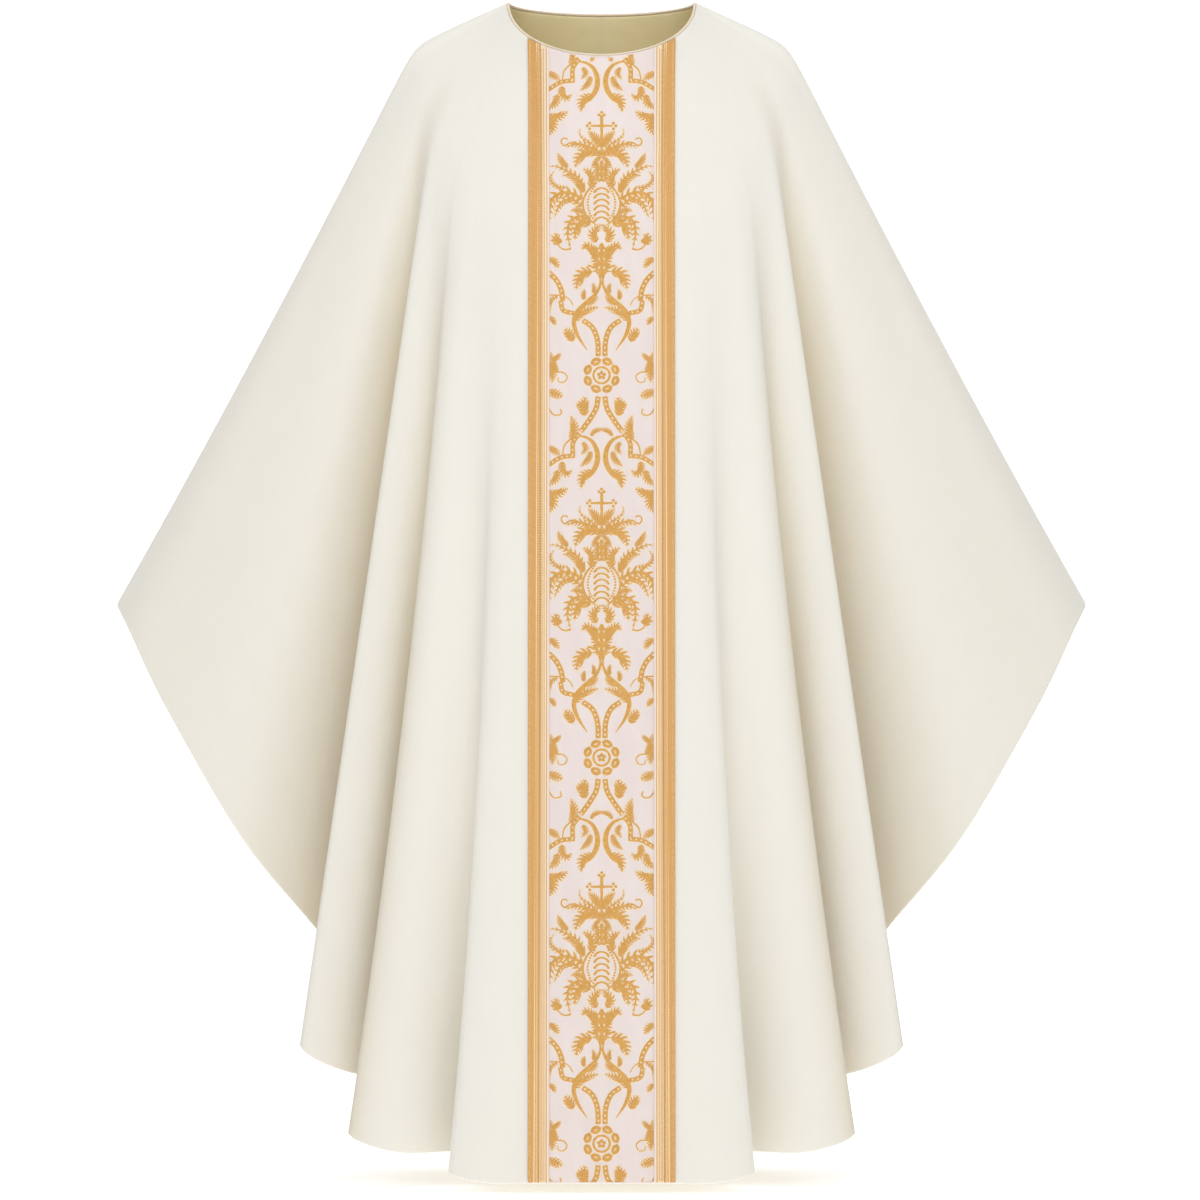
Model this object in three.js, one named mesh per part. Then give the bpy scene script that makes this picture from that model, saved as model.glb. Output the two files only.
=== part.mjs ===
// A chasuble: the wide sleeveless vestment worn over the shoulders, as it hangs when worn.
// Millimetres, +Z up, front towards -Y. The origin is midway between the two neck points,
// the inner ends of the shoulder seams. Left and right are the wearer's, so left is +X.
//
// The garment is one draped surface, drawn as thread lines that start at the neck edge, lie on
// the body as far as the chest or shoulder, and fall from there to the hem. Every cloth layer is
// a sheet of that surface, at its own depth below or above the outer cloth's inner face.
import * as THREE from "three";

// Overall sizes.
const LENGTH = 1285; // neck point down to the hem at centre front
const HALF_SPREAD = 534; // centre to the lowest outer corner, over the hanging arm
const CORNER_DROP = 662; // neck point down to that corner
const HEM_DEPTH = 225; // shoulder line forward to the hem at centre front

// Neck edge.
const NECK_HALF_WIDTH = 105;
const NECK_FRONT = { reach: 85, drop: 65 };
const NECK_BACK = { reach: 82, drop: 8 };

// Where the body stops holding the cloth.
const SHOULDER_HALF_WIDTH = 206;
const SHOULDER_DROP = 45;
const CHEST = { reach: 128, drop: 250 };
const SHOULDER_SQUARENESS = 0.85; // under 1 pushes the support line out at the front of the arm
const SEAM_SAG = 22; // how far the shoulder seam's lower end flicks out from a straight line
// How softly a thread turns from lying to hanging, as a share of its length: soft over the chest,
// and tighter over the point of the shoulder.
const CHEST_BEND = 0.05;
const SHOULDER_BEND = 0.02;

// The woven band down the centre, and the braid along each of its edges.
const BAND_WIDTH = 154;
const BRAID_WIDTH = 20;

// Cloth thicknesses and the clearance between layers.
const OUTER_CLOTH = 1.0;
const LINING_CLOTH = 0.8;
const STAY_TAPE = 0.6;
const BAND_CANVAS = 0.6;
const BAND_CLOTH = 0.9;
const BRAID = 1.2;
const CLEARANCE = 0.4;
const HEM_TURNING = 30; // how wide a strip is turned up as hem
const LINING_LIFT = 6; // from the turned-up hem's upper edge to the lining's lower edge
const HEM_STEP = 3; // how far below its upper edge the turned-up hem is at full depth
const NECK_STAY = 22; // width of the tape round the neck
const PIPING_RADIUS = 1.7;

// Depth of each layer: [inner face, outer face], outwards from the outer cloth's inner face.
const stack = (from, thickness) => [from, from + thickness];
const STAY_LAYER = stack(-CLEARANCE - STAY_TAPE, STAY_TAPE);
const LINING_LAYER = stack(STAY_LAYER[0] - CLEARANCE - LINING_CLOTH, LINING_CLOTH);
const OUTER_LAYER = stack(0, OUTER_CLOTH);
const CANVAS_LAYER = stack(OUTER_LAYER[1] + CLEARANCE, BAND_CANVAS);
const BAND_LAYER = stack(CANVAS_LAYER[1] + CLEARANCE, BAND_CLOTH);
const BRAID_LAYER = stack(BAND_LAYER[1] + CLEARANCE, BRAID);

// Thread lines from the band's edge round to the shoulder seam. "around" is how far round the
// neck and shoulder the line starts. "hem" is where it ends: across from the band's edge to the
// corner, forward as a share of the hem depth, down as a share of the length. "pleat" is the part
// of that which a fold adds, and "late" how far down the fold waits before it opens.
const FRONT_THREADS = [
  { name: "panel face", around: 0.056, hem: [0.1, 0.965, 1], pleat: [0, 0], late: 1 },
  { name: "panel edge", around: 0.111, hem: [0.19, 0.853, 0.992], pleat: [0.035, -0.02], late: 4 },
  { name: "first valley front", around: 0.167, hem: [0.1, 0.63, 0.985], pleat: [-0.07, -0.215], late: 2 },
  { name: "first valley back", around: 0.222, hem: [0.118, 0.535, 0.981], pleat: [-0.07, -0.245], late: 2 },
  { name: "first fold foot", around: 0.278, hem: [0.242, 0.622, 0.979], pleat: [-0.011, -0.09], late: 2 },
  { name: "first fold face", around: 0.333, hem: [0.352, 0.702, 0.975], pleat: [0.011, 0.035], late: 2 },
  { name: "first fold edge", around: 0.389, hem: [0.427, 0.667, 0.964], pleat: [0.066, 0.09], late: 2.2 },
  { name: "second valley front", around: 0.44, hem: [0.287, 0.37, 0.937], pleat: [-0.084, -0.17], late: 1.5 },
  { name: "second valley back", around: 0.5, hem: [0.3, 0.28, 0.927], pleat: [-0.084, -0.2], late: 1.5 },
  { name: "second fold face", around: 0.556, hem: [0.43, 0.39, 0.914], pleat: [0, -0.045], late: 1.5 },
  { name: "second fold edge", around: 0.611, hem: [0.55, 0.39, 0.891], pleat: [0.022, 0.067], late: 1.2 },
  { name: "arm valley front", around: 0.667, hem: [0.41, 0.2, 0.868], pleat: [-0.077, -0.15], late: 1.1 },
  { name: "arm valley back", around: 0.722, hem: [0.425, 0.1, 0.843], pleat: [-0.077, -0.178], late: 1.1 },
  { name: "sleeve foot", around: 0.778, hem: [0.663, 0.275, 0.73], pleat: [0, 0], late: 1 },
  { name: "sleeve face", around: 0.833, hem: [0.806, 0.3, 0.648], pleat: [0, 0], late: 1 },
  { name: "sleeve brow", around: 0.889, hem: [0.92, 0.22, 0.574], pleat: [0, 0], late: 1 },
  { name: "over the arm", around: 0.944, hem: [0.985, 0.1, 0.527], pleat: [0, 0], late: 1 },
];
const BACK_SPREAD = 0.97; // the back's folds stay a little inside the front's

// A number that rises as its input passes zero, with a corner rounded by the bend.
const softRise = (t, bend) => (t + Math.hypot(t, bend)) / 2;

// One thread line: from the neck, over the support, to the hem.
function threadLine({ neck, support, hem, pleat, late, bend }) {
  const lying = support.clone().sub(neck);
  const hanging = hem.clone().sub(support).sub(pleat);
  const lyingShare = lying.length() / (lying.length() + hem.distanceTo(support));
  const low = softRise(-lyingShare, bend);
  const high = softRise(1 - lyingShare, bend);
  const at = (v) => {
    const hung = (softRise(v - lyingShare, bend) - low) / (high - low);
    const lain = (v - (1 - lyingShare) * hung) / lyingShare;
    return neck
      .clone()
      .addScaledVector(lying, lain)
      .addScaledVector(hanging, hung)
      .addScaledVector(pleat, hung ** late);
  };
  return { at, length: lying.length() + hem.distanceTo(support) };
}

// Every thread line of one side of the garment, from the centre to the shoulder seam. side is -1
// for the front and 1 for the back.
function threadLines(side) {
  const neckEdge = side < 0 ? NECK_FRONT : NECK_BACK;
  const spread = side < 0 ? 1 : BACK_SPREAD;
  const halfBand = BAND_WIDTH / 2;
  const neckAt = (angle) =>
    new THREE.Vector3(
      NECK_HALF_WIDTH * Math.sin(angle),
      side * neckEdge.reach * Math.cos(angle),
      -neckEdge.drop * Math.cos(angle),
    );
  const supportAt = (angle) =>
    new THREE.Vector3(
      SHOULDER_HALF_WIDTH * Math.sin(angle) ** SHOULDER_SQUARENESS,
      side * CHEST.reach * Math.cos(angle),
      -SHOULDER_DROP - (CHEST.drop - SHOULDER_DROP) * Math.cos(angle),
    );
  const supportAngle = (x) => Math.asin((x / SHOULDER_HALF_WIDTH) ** (1 / SHOULDER_SQUARENESS));
  const nowhere = new THREE.Vector3();

  const straight = [0, halfBand / 2, halfBand - BRAID_WIDTH, halfBand].map((x) =>
    threadLine({
      neck: neckAt(Math.asin(x / NECK_HALF_WIDTH)),
      support: supportAt(supportAngle(x)).setX(x),
      hem: new THREE.Vector3(x, side * HEM_DEPTH * (1 - 0.01 * (x / halfBand) ** 2), -LENGTH),
      pleat: nowhere,
      late: 1,
      bend: CHEST_BEND,
    }),
  );

  const firstNeck = Math.asin(halfBand / NECK_HALF_WIDTH);
  const firstSupport = supportAngle(halfBand);
  const across = (share) => share * (HALF_SPREAD - halfBand);
  const fanned = FRONT_THREADS.map(({ around, hem, pleat, late }) =>
    threadLine({
      neck: neckAt(THREE.MathUtils.lerp(firstNeck, Math.PI / 2, around)),
      support: supportAt(THREE.MathUtils.lerp(firstSupport, Math.PI / 2, around)),
      hem: new THREE.Vector3(
        halfBand + across(hem[0]) * spread,
        side * HEM_DEPTH * hem[1] * spread,
        -LENGTH * hem[2],
      ),
      pleat: new THREE.Vector3(across(pleat[0]), side * HEM_DEPTH * pleat[1], 0),
      late,
      bend: THREE.MathUtils.lerp(CHEST_BEND, SHOULDER_BEND, around ** 2),
    }),
  );

  const seam = threadLine({
    neck: new THREE.Vector3(NECK_HALF_WIDTH, 0, 0),
    support: new THREE.Vector3(SHOULDER_HALF_WIDTH, 0, -SHOULDER_DROP),
    hem: new THREE.Vector3(HALF_SPREAD, 0, -CORNER_DROP),
    pleat: new THREE.Vector3(SEAM_SAG, 0, 0),
    late: 2,
    bend: SHOULDER_BEND,
  });
  return [...straight, ...fanned, seam];
}

// The curvatures at the knots of a natural cubic spline, by the usual tridiagonal sweep.
function splineCurvatures(knots, values) {
  const n = knots.length;
  const curvature = new Array(n).fill(0);
  const sweep = new Array(n).fill(0);
  for (let i = 1; i < n - 1; i++) {
    const before = knots[i] - knots[i - 1];
    const after = knots[i + 1] - knots[i];
    const share = before / (before + after);
    const pivot = share * curvature[i - 1] + 2;
    const slopeChange = (values[i + 1] - values[i]) / after - (values[i] - values[i - 1]) / before;
    curvature[i] = (share - 1) / pivot;
    sweep[i] = ((6 * slopeChange) / (before + after) - share * sweep[i - 1]) / pivot;
  }
  for (let i = n - 2; i >= 0; i--) curvature[i] = curvature[i] * curvature[i + 1] + sweep[i];
  return curvature;
}

// The spline's value at t, which lies between knots i and i + 1.
function splineAt(knots, values, curvatures, i, t) {
  const step = knots[i + 1] - knots[i];
  const a = (knots[i + 1] - t) / step;
  const b = 1 - a;
  const bend = (a ** 3 - a) * curvatures[i] + (b ** 3 - b) * curvatures[i + 1];
  return a * values[i] + b * values[i + 1] + (bend * step * step) / 6;
}

// The left half of the garment as one sheet, from centre front (u = 0) over the shoulder seam to
// centre back. u counts thread lines, and v runs from the neck edge (0) to the hem (1).
const front = threadLines(-1);
const back = threadLines(1);
const LINES = [...front, ...back.slice(0, -1).reverse()];
const SEAM = front.length - 1;
const LAST = LINES.length - 1;
const MIRRORED = 3; // thread lines of the other half that keep the spline straight at the centres

const mirrorPoint = (p) => new THREE.Vector3(-p.x, p.y, p.z);
const mirrored = ({ at, length }) => ({ at: (v) => mirrorPoint(at(v)), length });
const KNOT_LINES = [
  ...LINES.slice(1, MIRRORED + 1).reverse().map(mirrored),
  ...LINES,
  ...LINES.slice(LAST - MIRRORED, LAST).reverse().map(mirrored),
];

// One row of the surface: a spline through all the thread lines, with its knots spaced by the
// distance between them. A row is a function that gives v for a thread line's length.
function surfaceRow(row) {
  const points = KNOT_LINES.map(({ at, length }) => at(row(length)));
  const knots = [0];
  for (let i = 1; i < points.length; i++) {
    knots.push(knots[i - 1] + points[i].distanceTo(points[i - 1]));
  }
  const axes = ["x", "y", "z"].map((axis) => {
    const values = points.map((p) => p[axis]);
    return { values, curvatures: splineCurvatures(knots, values) };
  });
  return (u) => {
    const line = Math.min(Math.floor(u), LAST - 1);
    const i = line + MIRRORED;
    const t = THREE.MathUtils.lerp(knots[i], knots[i + 1], u - line);
    const at = ({ values, curvatures }) => splineAt(knots, values, curvatures, i, t);
    return new THREE.Vector3(...axes.map(at));
  };
}

// Points and outward directions of the left half on a grid of u values and rows.
const NUDGE = 1e-3;
function surfaceGrid(us, rows) {
  return rows.map((row) => {
    const here = surfaceRow(row);
    const above = surfaceRow((length) => Math.max(row(length) - NUDGE, 0));
    const below = surfaceRow((length) => Math.min(row(length) + NUDGE, 1));
    return us.map((u) => {
      const low = Math.max(u - NUDGE, 0);
      const high = Math.min(u + NUDGE, LAST);
      const acrossCloth = here(high).sub(here(low));
      const downCloth = below(u).sub(above(u));
      const outward = downCloth.cross(acrossCloth);
      if (u === 0 || u === LAST) outward.x = 0; // square to the centre line
      if (u === SEAM) outward.y = 0; // square to the shoulder seam
      return { point: here(u), outward: outward.normalize() };
    });
  });
}

// One cloth layer of the left half, as a grid of points on its inner and outer faces. depths is
// [inner, outer], or a function of the row that gives them. trim is how far a column is moved, to
// clear the neighbour across a seam.
const linesFromCentre = (u) => Math.min(u, LAST - u);
function sheetPoints(us, rows, depths, trim = () => null) {
  const depthsAt = typeof depths === "function" ? depths : () => depths;
  return surfaceGrid(us, rows).map((cells, r) =>
    cells.map(({ point, outward }, c) => {
      const at = (depth) => {
        const moved = point.clone().addScaledVector(outward, depth);
        const shift = trim(us[c]);
        return shift ? moved.add(shift) : moved;
      };
      const [inner, outer] = depthsAt(rows[r]).map(at);
      return { inner, outer, fromCentre: linesFromCentre(us[c]) };
    }),
  );
}

// A closed solid from such a grid. flip is true where the grid's own order would turn the faces
// inwards.
function sheetGeometry(grid, flip) {
  const rows = grid.length;
  const columns = grid[0].length;
  const positions = grid.flat().flatMap(({ inner, outer }) => [...inner, ...outer]);
  const inner = (r, c) => 2 * (r * columns + c);
  const outer = (r, c) => inner(r, c) + 1;
  const indices = [];
  const triangle = (a, b, c) => indices.push(...(flip ? [a, c, b] : [a, b, c]));
  const quad = (a, b, c, d) => [triangle(a, b, c), triangle(a, c, d)];
  // Each cell is split from its upper corner nearer the centre to its lower outer one, so the
  // facets of layers that share grid lines stay parallel.
  const goesOut = (c) => grid[0][c + 1].fromCentre > grid[0][c].fromCentre;
  const cell = (p, q, r, s, out) => (out ? quad(p, q, r, s) : quad(q, r, s, p));
  for (let r = 0; r < rows - 1; r++) {
    for (let c = 0; c < columns - 1; c++) {
      const out = goesOut(c);
      cell(outer(r, c), outer(r + 1, c), outer(r + 1, c + 1), outer(r, c + 1), out);
      cell(inner(r, c), inner(r, c + 1), inner(r + 1, c + 1), inner(r + 1, c), out);
    }
    quad(outer(r, 0), inner(r, 0), inner(r + 1, 0), outer(r + 1, 0));
    const last = columns - 1;
    quad(outer(r + 1, last), inner(r + 1, last), inner(r, last), outer(r, last));
  }
  for (let c = 0; c < columns - 1; c++) {
    const last = rows - 1;
    quad(outer(0, c + 1), inner(0, c + 1), inner(0, c), outer(0, c));
    quad(outer(last, c), inner(last, c), inner(last, c + 1), outer(last, c + 1));
  }
  return new THREE.BufferGeometry()
    .setAttribute("position", new THREE.Float32BufferAttribute(positions, 3))
    .setIndex(indices);
}

const mirrorCell = (c) => ({ ...c, inner: mirrorPoint(c.inner), outer: mirrorPoint(c.outer) });
const mirrorGrid = (grid) => grid.map((row) => row.map(mirrorCell));

// The same layer on both sides of the centre, as one piece. The grid starts at the centre line.
const acrossCentre = (grid) =>
  grid.map((row) => [...row.slice(1).reverse().map(mirrorCell), ...row]);

// Colours and finishes.
const finish = (color, roughness, metalness = 0) =>
  new THREE.MeshStandardMaterial({ color, roughness, metalness, side: THREE.DoubleSide });
const CREAM = finish(0xece8dc, 0.75);
const CHAMPAGNE = finish(0xd9c88f, 0.45);
const CANVAS = finish(0xe4dfd2, 0.9);
const BLUSH = finish(0xe9d9d2, 0.6);
const GOLD = finish(0xc98d35, 0.4, 0.5);

const chasuble = new THREE.Group();
function addSheet(name, grid, material, flip) {
  const mesh = new THREE.Mesh(sheetGeometry(grid, flip), material);
  mesh.name = name;
  chasuble.add(mesh);
}

// Grid lines: a u line at every thread and between threads that end far apart, and rows closest
// together over the shoulder. Every layer uses the same ones.
const WIDEST_CELL = 68; // along the hem
const frontLines = [];
for (let i = 0; i < SEAM; i++) {
  const steps = Math.ceil(LINES[i].at(1).distanceTo(LINES[i + 1].at(1)) / WIDEST_CELL);
  for (let k = 0; k < steps; k++) frontLines.push(i + k / steps);
}
frontLines.push(SEAM);
const backLines = frontLines.map((u) => LAST - u).reverse();
const roundNeck = [...frontLines, ...backLines.slice(1)];

// Rows: the neck edge, then from the neck tape's lower edge to the lining's lower edge, then the
// turned-up hem, which fills the lining's depth.
const neckEdge = () => 0;
const hemEdge = () => 1;
const fromHem = (distance) => (length) => 1 - distance / length;
const rowBetween = (share) => (length) =>
  THREE.MathUtils.lerp(NECK_STAY / length, fromHem(HEM_TURNING + LINING_LIFT)(length), share);
const turningEdge = fromHem(HEM_TURNING);
const turningStep = fromHem(HEM_TURNING - HEM_STEP);
const DOWN = [0, 0.04, 0.09, 0.15, 0.22, 0.33, 0.47, 0.61, 0.75, 0.88, 1];
const ROWS = [neckEdge, ...DOWN.map(rowBetween)];
const toHem = [...ROWS, turningEdge, turningStep, hemEdge];
const panelDepths = (row) =>
  row === turningStep || row === hemEdge ? [LINING_LAYER[0], OUTER_LAYER[1]] : OUTER_LAYER;

// Keeps neighbouring pieces a clearance apart at the centre and shoulder seams.
const apartAtSeams = (side) => (u) => {
  if (u === 0 || u === LAST) return new THREE.Vector3(CLEARANCE / 2, 0, 0);
  if (u === SEAM) return new THREE.Vector3(0, (side * CLEARANCE) / 2, 0);
  return null;
};
const BAND_EDGE = 3; // the thread line along the band's edge
const bandLines = frontLines.filter((u) => u <= BAND_EDGE);
const ENDS = [
  { end: "front", side: -1, lines: frontLines, band: bandLines },
  { end: "back", side: 1, lines: backLines, band: bandLines.map((u) => LAST - u) },
];

// The outer cloth and the lining, each in four pieces with seams at the centres and shoulders.
for (const { end, side, lines } of ENDS) {
  const panel = sheetPoints(lines, toHem, panelDepths, apartAtSeams(side));
  addSheet(`${end}_panel_left`, panel, CREAM, false);
  addSheet(`${end}_panel_right`, mirrorGrid(panel), CREAM, true);

  const lining = sheetPoints(lines, ROWS, LINING_LAYER, apartAtSeams(side));
  addSheet(`${end}_lining_left`, lining, CHAMPAGNE, false);
  addSheet(`${end}_lining_right`, mirrorGrid(lining), CHAMPAGNE, true);
}

// The band: canvas, brocade and the two braids, down the centre front and centre back.
const BRAID_FROM = bandLines.indexOf(2); // the thread line along the braid's inner edge
for (const { end, side, band } of ENDS) {
  const flip = side > 0;
  const canvas = sheetPoints(band, toHem, CANVAS_LAYER);
  addSheet(`${end}_band_canvas`, acrossCentre(canvas), CANVAS, flip);
  const brocade = sheetPoints(band, toHem, BAND_LAYER);
  addSheet(`${end}_band`, acrossCentre(brocade), BLUSH, flip);
  const braid = sheetPoints(band.slice(BRAID_FROM), toHem, BRAID_LAYER);
  addSheet(`${end}_braid_left`, braid, GOLD, flip);
  addSheet(`${end}_braid_right`, mirrorGrid(braid), GOLD, !flip);
}

// Stay tapes between the outer cloth and the lining: one along each shoulder seam, and one round
// the front and the back of the neck.
const SHOULDER_STAY_ROWS = ROWS.slice(2, 6);
const overShoulder = roundNeck.filter((u) => Math.abs(u - SEAM) <= 1);
const shoulderStay = sheetPoints(overShoulder, SHOULDER_STAY_ROWS, STAY_LAYER);
addSheet("shoulder_stay_left", shoulderStay, CANVAS, false);
addSheet("shoulder_stay_right", mirrorGrid(shoulderStay), CANVAS, true);
for (const { end, side, lines } of ENDS) {
  const outwards = side < 0 ? lines : [...lines].reverse();
  const half = sheetPoints(outwards, ROWS.slice(0, 2), STAY_LAYER, (u) =>
    u === SEAM ? new THREE.Vector3(0, (side * CLEARANCE) / 2, 0) : null,
  );
  addSheet(`neck_stay_${end}`, acrossCentre(half), CANVAS, side > 0);
}

// The rolled piping that finishes the neck edge: one closed ring, a clearance above the cloth's
// edge, with a cross-section at every grid line.
const PIPING_SIDES = 8;
const middle = (OUTER_LAYER[1] + LINING_LAYER[0]) / 2;
const [neckRow, nextRow] = surfaceGrid(roundNeck, [neckEdge, () => NUDGE]);
const halfRing = neckRow.map(({ point, outward }, i) => {
  const upwards = point.clone().sub(nextRow[i].point).normalize();
  const centre = point
    .clone()
    .addScaledVector(outward, middle)
    .addScaledVector(upwards, PIPING_RADIUS + CLEARANCE);
  return Array.from({ length: PIPING_SIDES }, (_, k) => {
    const angle = (2 * Math.PI * k) / PIPING_SIDES;
    return centre
      .clone()
      .addScaledVector(outward, PIPING_RADIUS * Math.cos(angle))
      .addScaledVector(upwards, PIPING_RADIUS * Math.sin(angle));
  });
});
const otherHalf = halfRing.slice(1, -1).reverse();
const ring = [...halfRing, ...otherHalf.map((section) => section.map(mirrorPoint))];
const ringIndices = ring.flatMap((_, i) =>
  Array.from({ length: PIPING_SIDES }, (_, k) => {
    const next = ((i + 1) % ring.length) * PIPING_SIDES;
    const here = i * PIPING_SIDES;
    const up = (k + 1) % PIPING_SIDES;
    return [here + k, next + up, here + up, here + k, next + k, next + up];
  }).flat(),
);
const piping = new THREE.Mesh(
  new THREE.BufferGeometry()
    .setAttribute("position", new THREE.Float32BufferAttribute(ring.flat().flatMap((p) => [...p]), 3))
    .setIndex(ringIndices),
  CREAM,
);
piping.name = "neck_piping";
chasuble.add(piping);

export default chasuble;
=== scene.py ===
# %% [markdown]
# # A chasuble, as it hangs when worn
# A chasuble is the wide outer vestment of a priest: a front and a back of ivory cloth, joined at
# the shoulders and lined, with a woven band down the middle. It is held at the shoulders alone, so
# nearly all of its shape is drape. It could be made by dropping a flat pattern on a body in a cloth
# simulation. Here the drape is a formula instead, so that the folds stay where they are wanted and
# every layer can lie at its own depth on the same surface.

import bpy
import numpy as np
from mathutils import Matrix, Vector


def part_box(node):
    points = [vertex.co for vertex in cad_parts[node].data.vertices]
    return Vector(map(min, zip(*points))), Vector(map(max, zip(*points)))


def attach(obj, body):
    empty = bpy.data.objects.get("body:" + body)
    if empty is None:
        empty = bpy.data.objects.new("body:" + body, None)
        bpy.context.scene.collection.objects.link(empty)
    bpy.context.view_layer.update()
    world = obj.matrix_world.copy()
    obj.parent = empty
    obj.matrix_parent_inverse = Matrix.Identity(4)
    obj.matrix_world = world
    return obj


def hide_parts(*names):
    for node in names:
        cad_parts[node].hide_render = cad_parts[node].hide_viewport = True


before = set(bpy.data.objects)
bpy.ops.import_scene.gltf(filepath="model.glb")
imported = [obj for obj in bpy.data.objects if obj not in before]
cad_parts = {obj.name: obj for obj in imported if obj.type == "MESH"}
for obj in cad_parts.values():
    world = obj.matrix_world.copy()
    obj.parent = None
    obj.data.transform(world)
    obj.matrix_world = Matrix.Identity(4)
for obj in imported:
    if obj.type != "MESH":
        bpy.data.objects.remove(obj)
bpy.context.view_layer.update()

# %% [markdown]
# ## The camera
# A long lens eight metres away, level with the middle of the cloth, keeps the sides of the garment
# nearly parallel. A closer camera would show more of the folds' sides and make the hem look curved.

# %% Camera
DISTANCE = 8.0
VIEW_WIDTH = 1.327  # how much of the garment's own plane the picture is wide
lens = bpy.data.cameras.new("camera")
lens.sensor_width = 36.0
lens.lens = lens.sensor_width * DISTANCE / VIEW_WIDTH
camera = bpy.data.objects.new("camera", lens)
camera.location = (-0.0017, -DISTANCE, -0.659)
camera.rotation_euler = (np.pi / 2, 0, 0)
bpy.context.scene.collection.objects.link(camera)
bpy.context.scene.camera = camera
print("lens", round(lens.lens), "mm")

# %% [markdown]
# ## The sizes
# The imported frame holds the garment's real size, and the widths of the band and the braid are
# measured from it. The other sizes are given here: the garment's own, and the tailor's sizes of
# where the body stops holding the cloth and how deep each layer lies. Depths count outwards from
# the inner face of the outer cloth.

# %% Sizes
band_low, band_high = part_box("front_band")
braid_low, braid_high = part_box("front_braid_left")
LENGTH = 1.285
HALF_BAND = (band_high.x - band_low.x) / 2
BRAID_WIDTH = braid_high.x - braid_low.x
HALF_SPREAD = 0.534
CORNER_DROP = 0.662
HEM_DEPTH = 0.225
HALF_NECK = 0.105
NECK = {"front": (0.085, 0.065), "back": (0.082, 0.008)}  # reach and drop
HALF_SHOULDER = 0.206
SHOULDER_DROP = 0.045
CHEST_REACH, CHEST_DROP = 0.128, 0.250
SQUARENESS = 0.85
SEAM_SAG = 0.022
CHEST_BEND, SHOULDER_BEND = 0.05, 0.02
BACK_SPREAD = 0.97
SIDE = {"front": -1, "back": 1}

DEPTH = {  # inner and outer face
    "stay": (-0.0010, -0.0004),
    "lining": (-0.0022, -0.0014),
    "outer": (0.0, 0.0010),
    "canvas": (0.0014, 0.0020),
    "band": (0.0024, 0.0033),
    "braid": (0.0037, 0.0049),
}
GAP = 0.0004
HEM_TURNING, LINING_LIFT, HEM_STEP, NECK_STAY = 0.030, 0.006, 0.003, 0.022
print("half band", round(HALF_BAND, 4), "braid", round(BRAID_WIDTH, 4))

# %% [markdown]
# ## The threads
# Cloth hangs along its threads. Each thread line here starts at the neck edge, lies on the body as
# far as the chest or the shoulder, and falls straight from there to the hem. A fold is a group of
# lines whose lower ends are pushed in or out, and "late" keeps the push for the lower part.

# %% Threads
THREADS = np.array([
    # around, hem across, forward and down, pleat across and forward, late
    (0.056, 0.100, 0.965, 1.000, 0.000, 0.000, 1.0),  # panel face
    (0.111, 0.190, 0.853, 0.992, 0.035, -0.020, 4.0),  # panel edge
    (0.167, 0.100, 0.630, 0.985, -0.070, -0.215, 2.0),  # first valley front
    (0.222, 0.118, 0.535, 0.981, -0.070, -0.245, 2.0),  # first valley back
    (0.278, 0.242, 0.622, 0.979, -0.011, -0.090, 2.0),  # first fold foot
    (0.333, 0.352, 0.702, 0.975, 0.011, 0.035, 2.0),  # first fold face
    (0.389, 0.427, 0.667, 0.964, 0.066, 0.090, 2.2),  # first fold edge
    (0.440, 0.287, 0.370, 0.937, -0.084, -0.170, 1.5),  # second valley front
    (0.500, 0.300, 0.280, 0.927, -0.084, -0.200, 1.5),  # second valley back
    (0.556, 0.430, 0.390, 0.914, 0.000, -0.045, 1.5),  # second fold face
    (0.611, 0.550, 0.390, 0.891, 0.022, 0.067, 1.2),  # second fold edge
    (0.667, 0.410, 0.200, 0.868, -0.077, -0.150, 1.1),  # arm valley front
    (0.722, 0.425, 0.100, 0.843, -0.077, -0.178, 1.1),  # arm valley back
    (0.778, 0.663, 0.275, 0.730, 0.000, 0.000, 1.0),  # sleeve foot
    (0.833, 0.806, 0.300, 0.648, 0.000, 0.000, 1.0),  # sleeve face
    (0.889, 0.920, 0.220, 0.574, 0.000, 0.000, 1.0),  # sleeve brow
    (0.944, 0.985, 0.100, 0.527, 0.000, 0.000, 1.0),  # over the arm
])


def lerp(a, b, share):
    """a plus that share of the way to b."""
    return a + (b - a) * share


def unit(vectors):
    """Each vector over its length."""
    return vectors / np.maximum(np.linalg.norm(vectors, axis=-1, keepdims=True), 1e-12)


def neck_at(angle, end):
    """The neck edge is an ellipse: half the neck times the sine across, the reach times the cosine
    forward, and the drop times the cosine down."""
    reach, drop = NECK[end]
    forward = SIDE[end] * reach * np.cos(angle)
    return np.stack([HALF_NECK * np.sin(angle), forward, -drop * np.cos(angle)], -1)


def support_at(angle, end):
    """Where the body lets go of the cloth: squarer than the neck edge, and lower at the chest."""
    across = HALF_SHOULDER * np.sin(angle) ** SQUARENESS
    down = -SHOULDER_DROP - (CHEST_DROP - SHOULDER_DROP) * np.cos(angle)
    return np.stack([across, SIDE[end] * CHEST_REACH * np.cos(angle), down], -1)


def support_angle(across):
    """The angle at which the support line is that far across."""
    return np.arcsin((across / HALF_SHOULDER) ** (1 / SQUARENESS))


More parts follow.
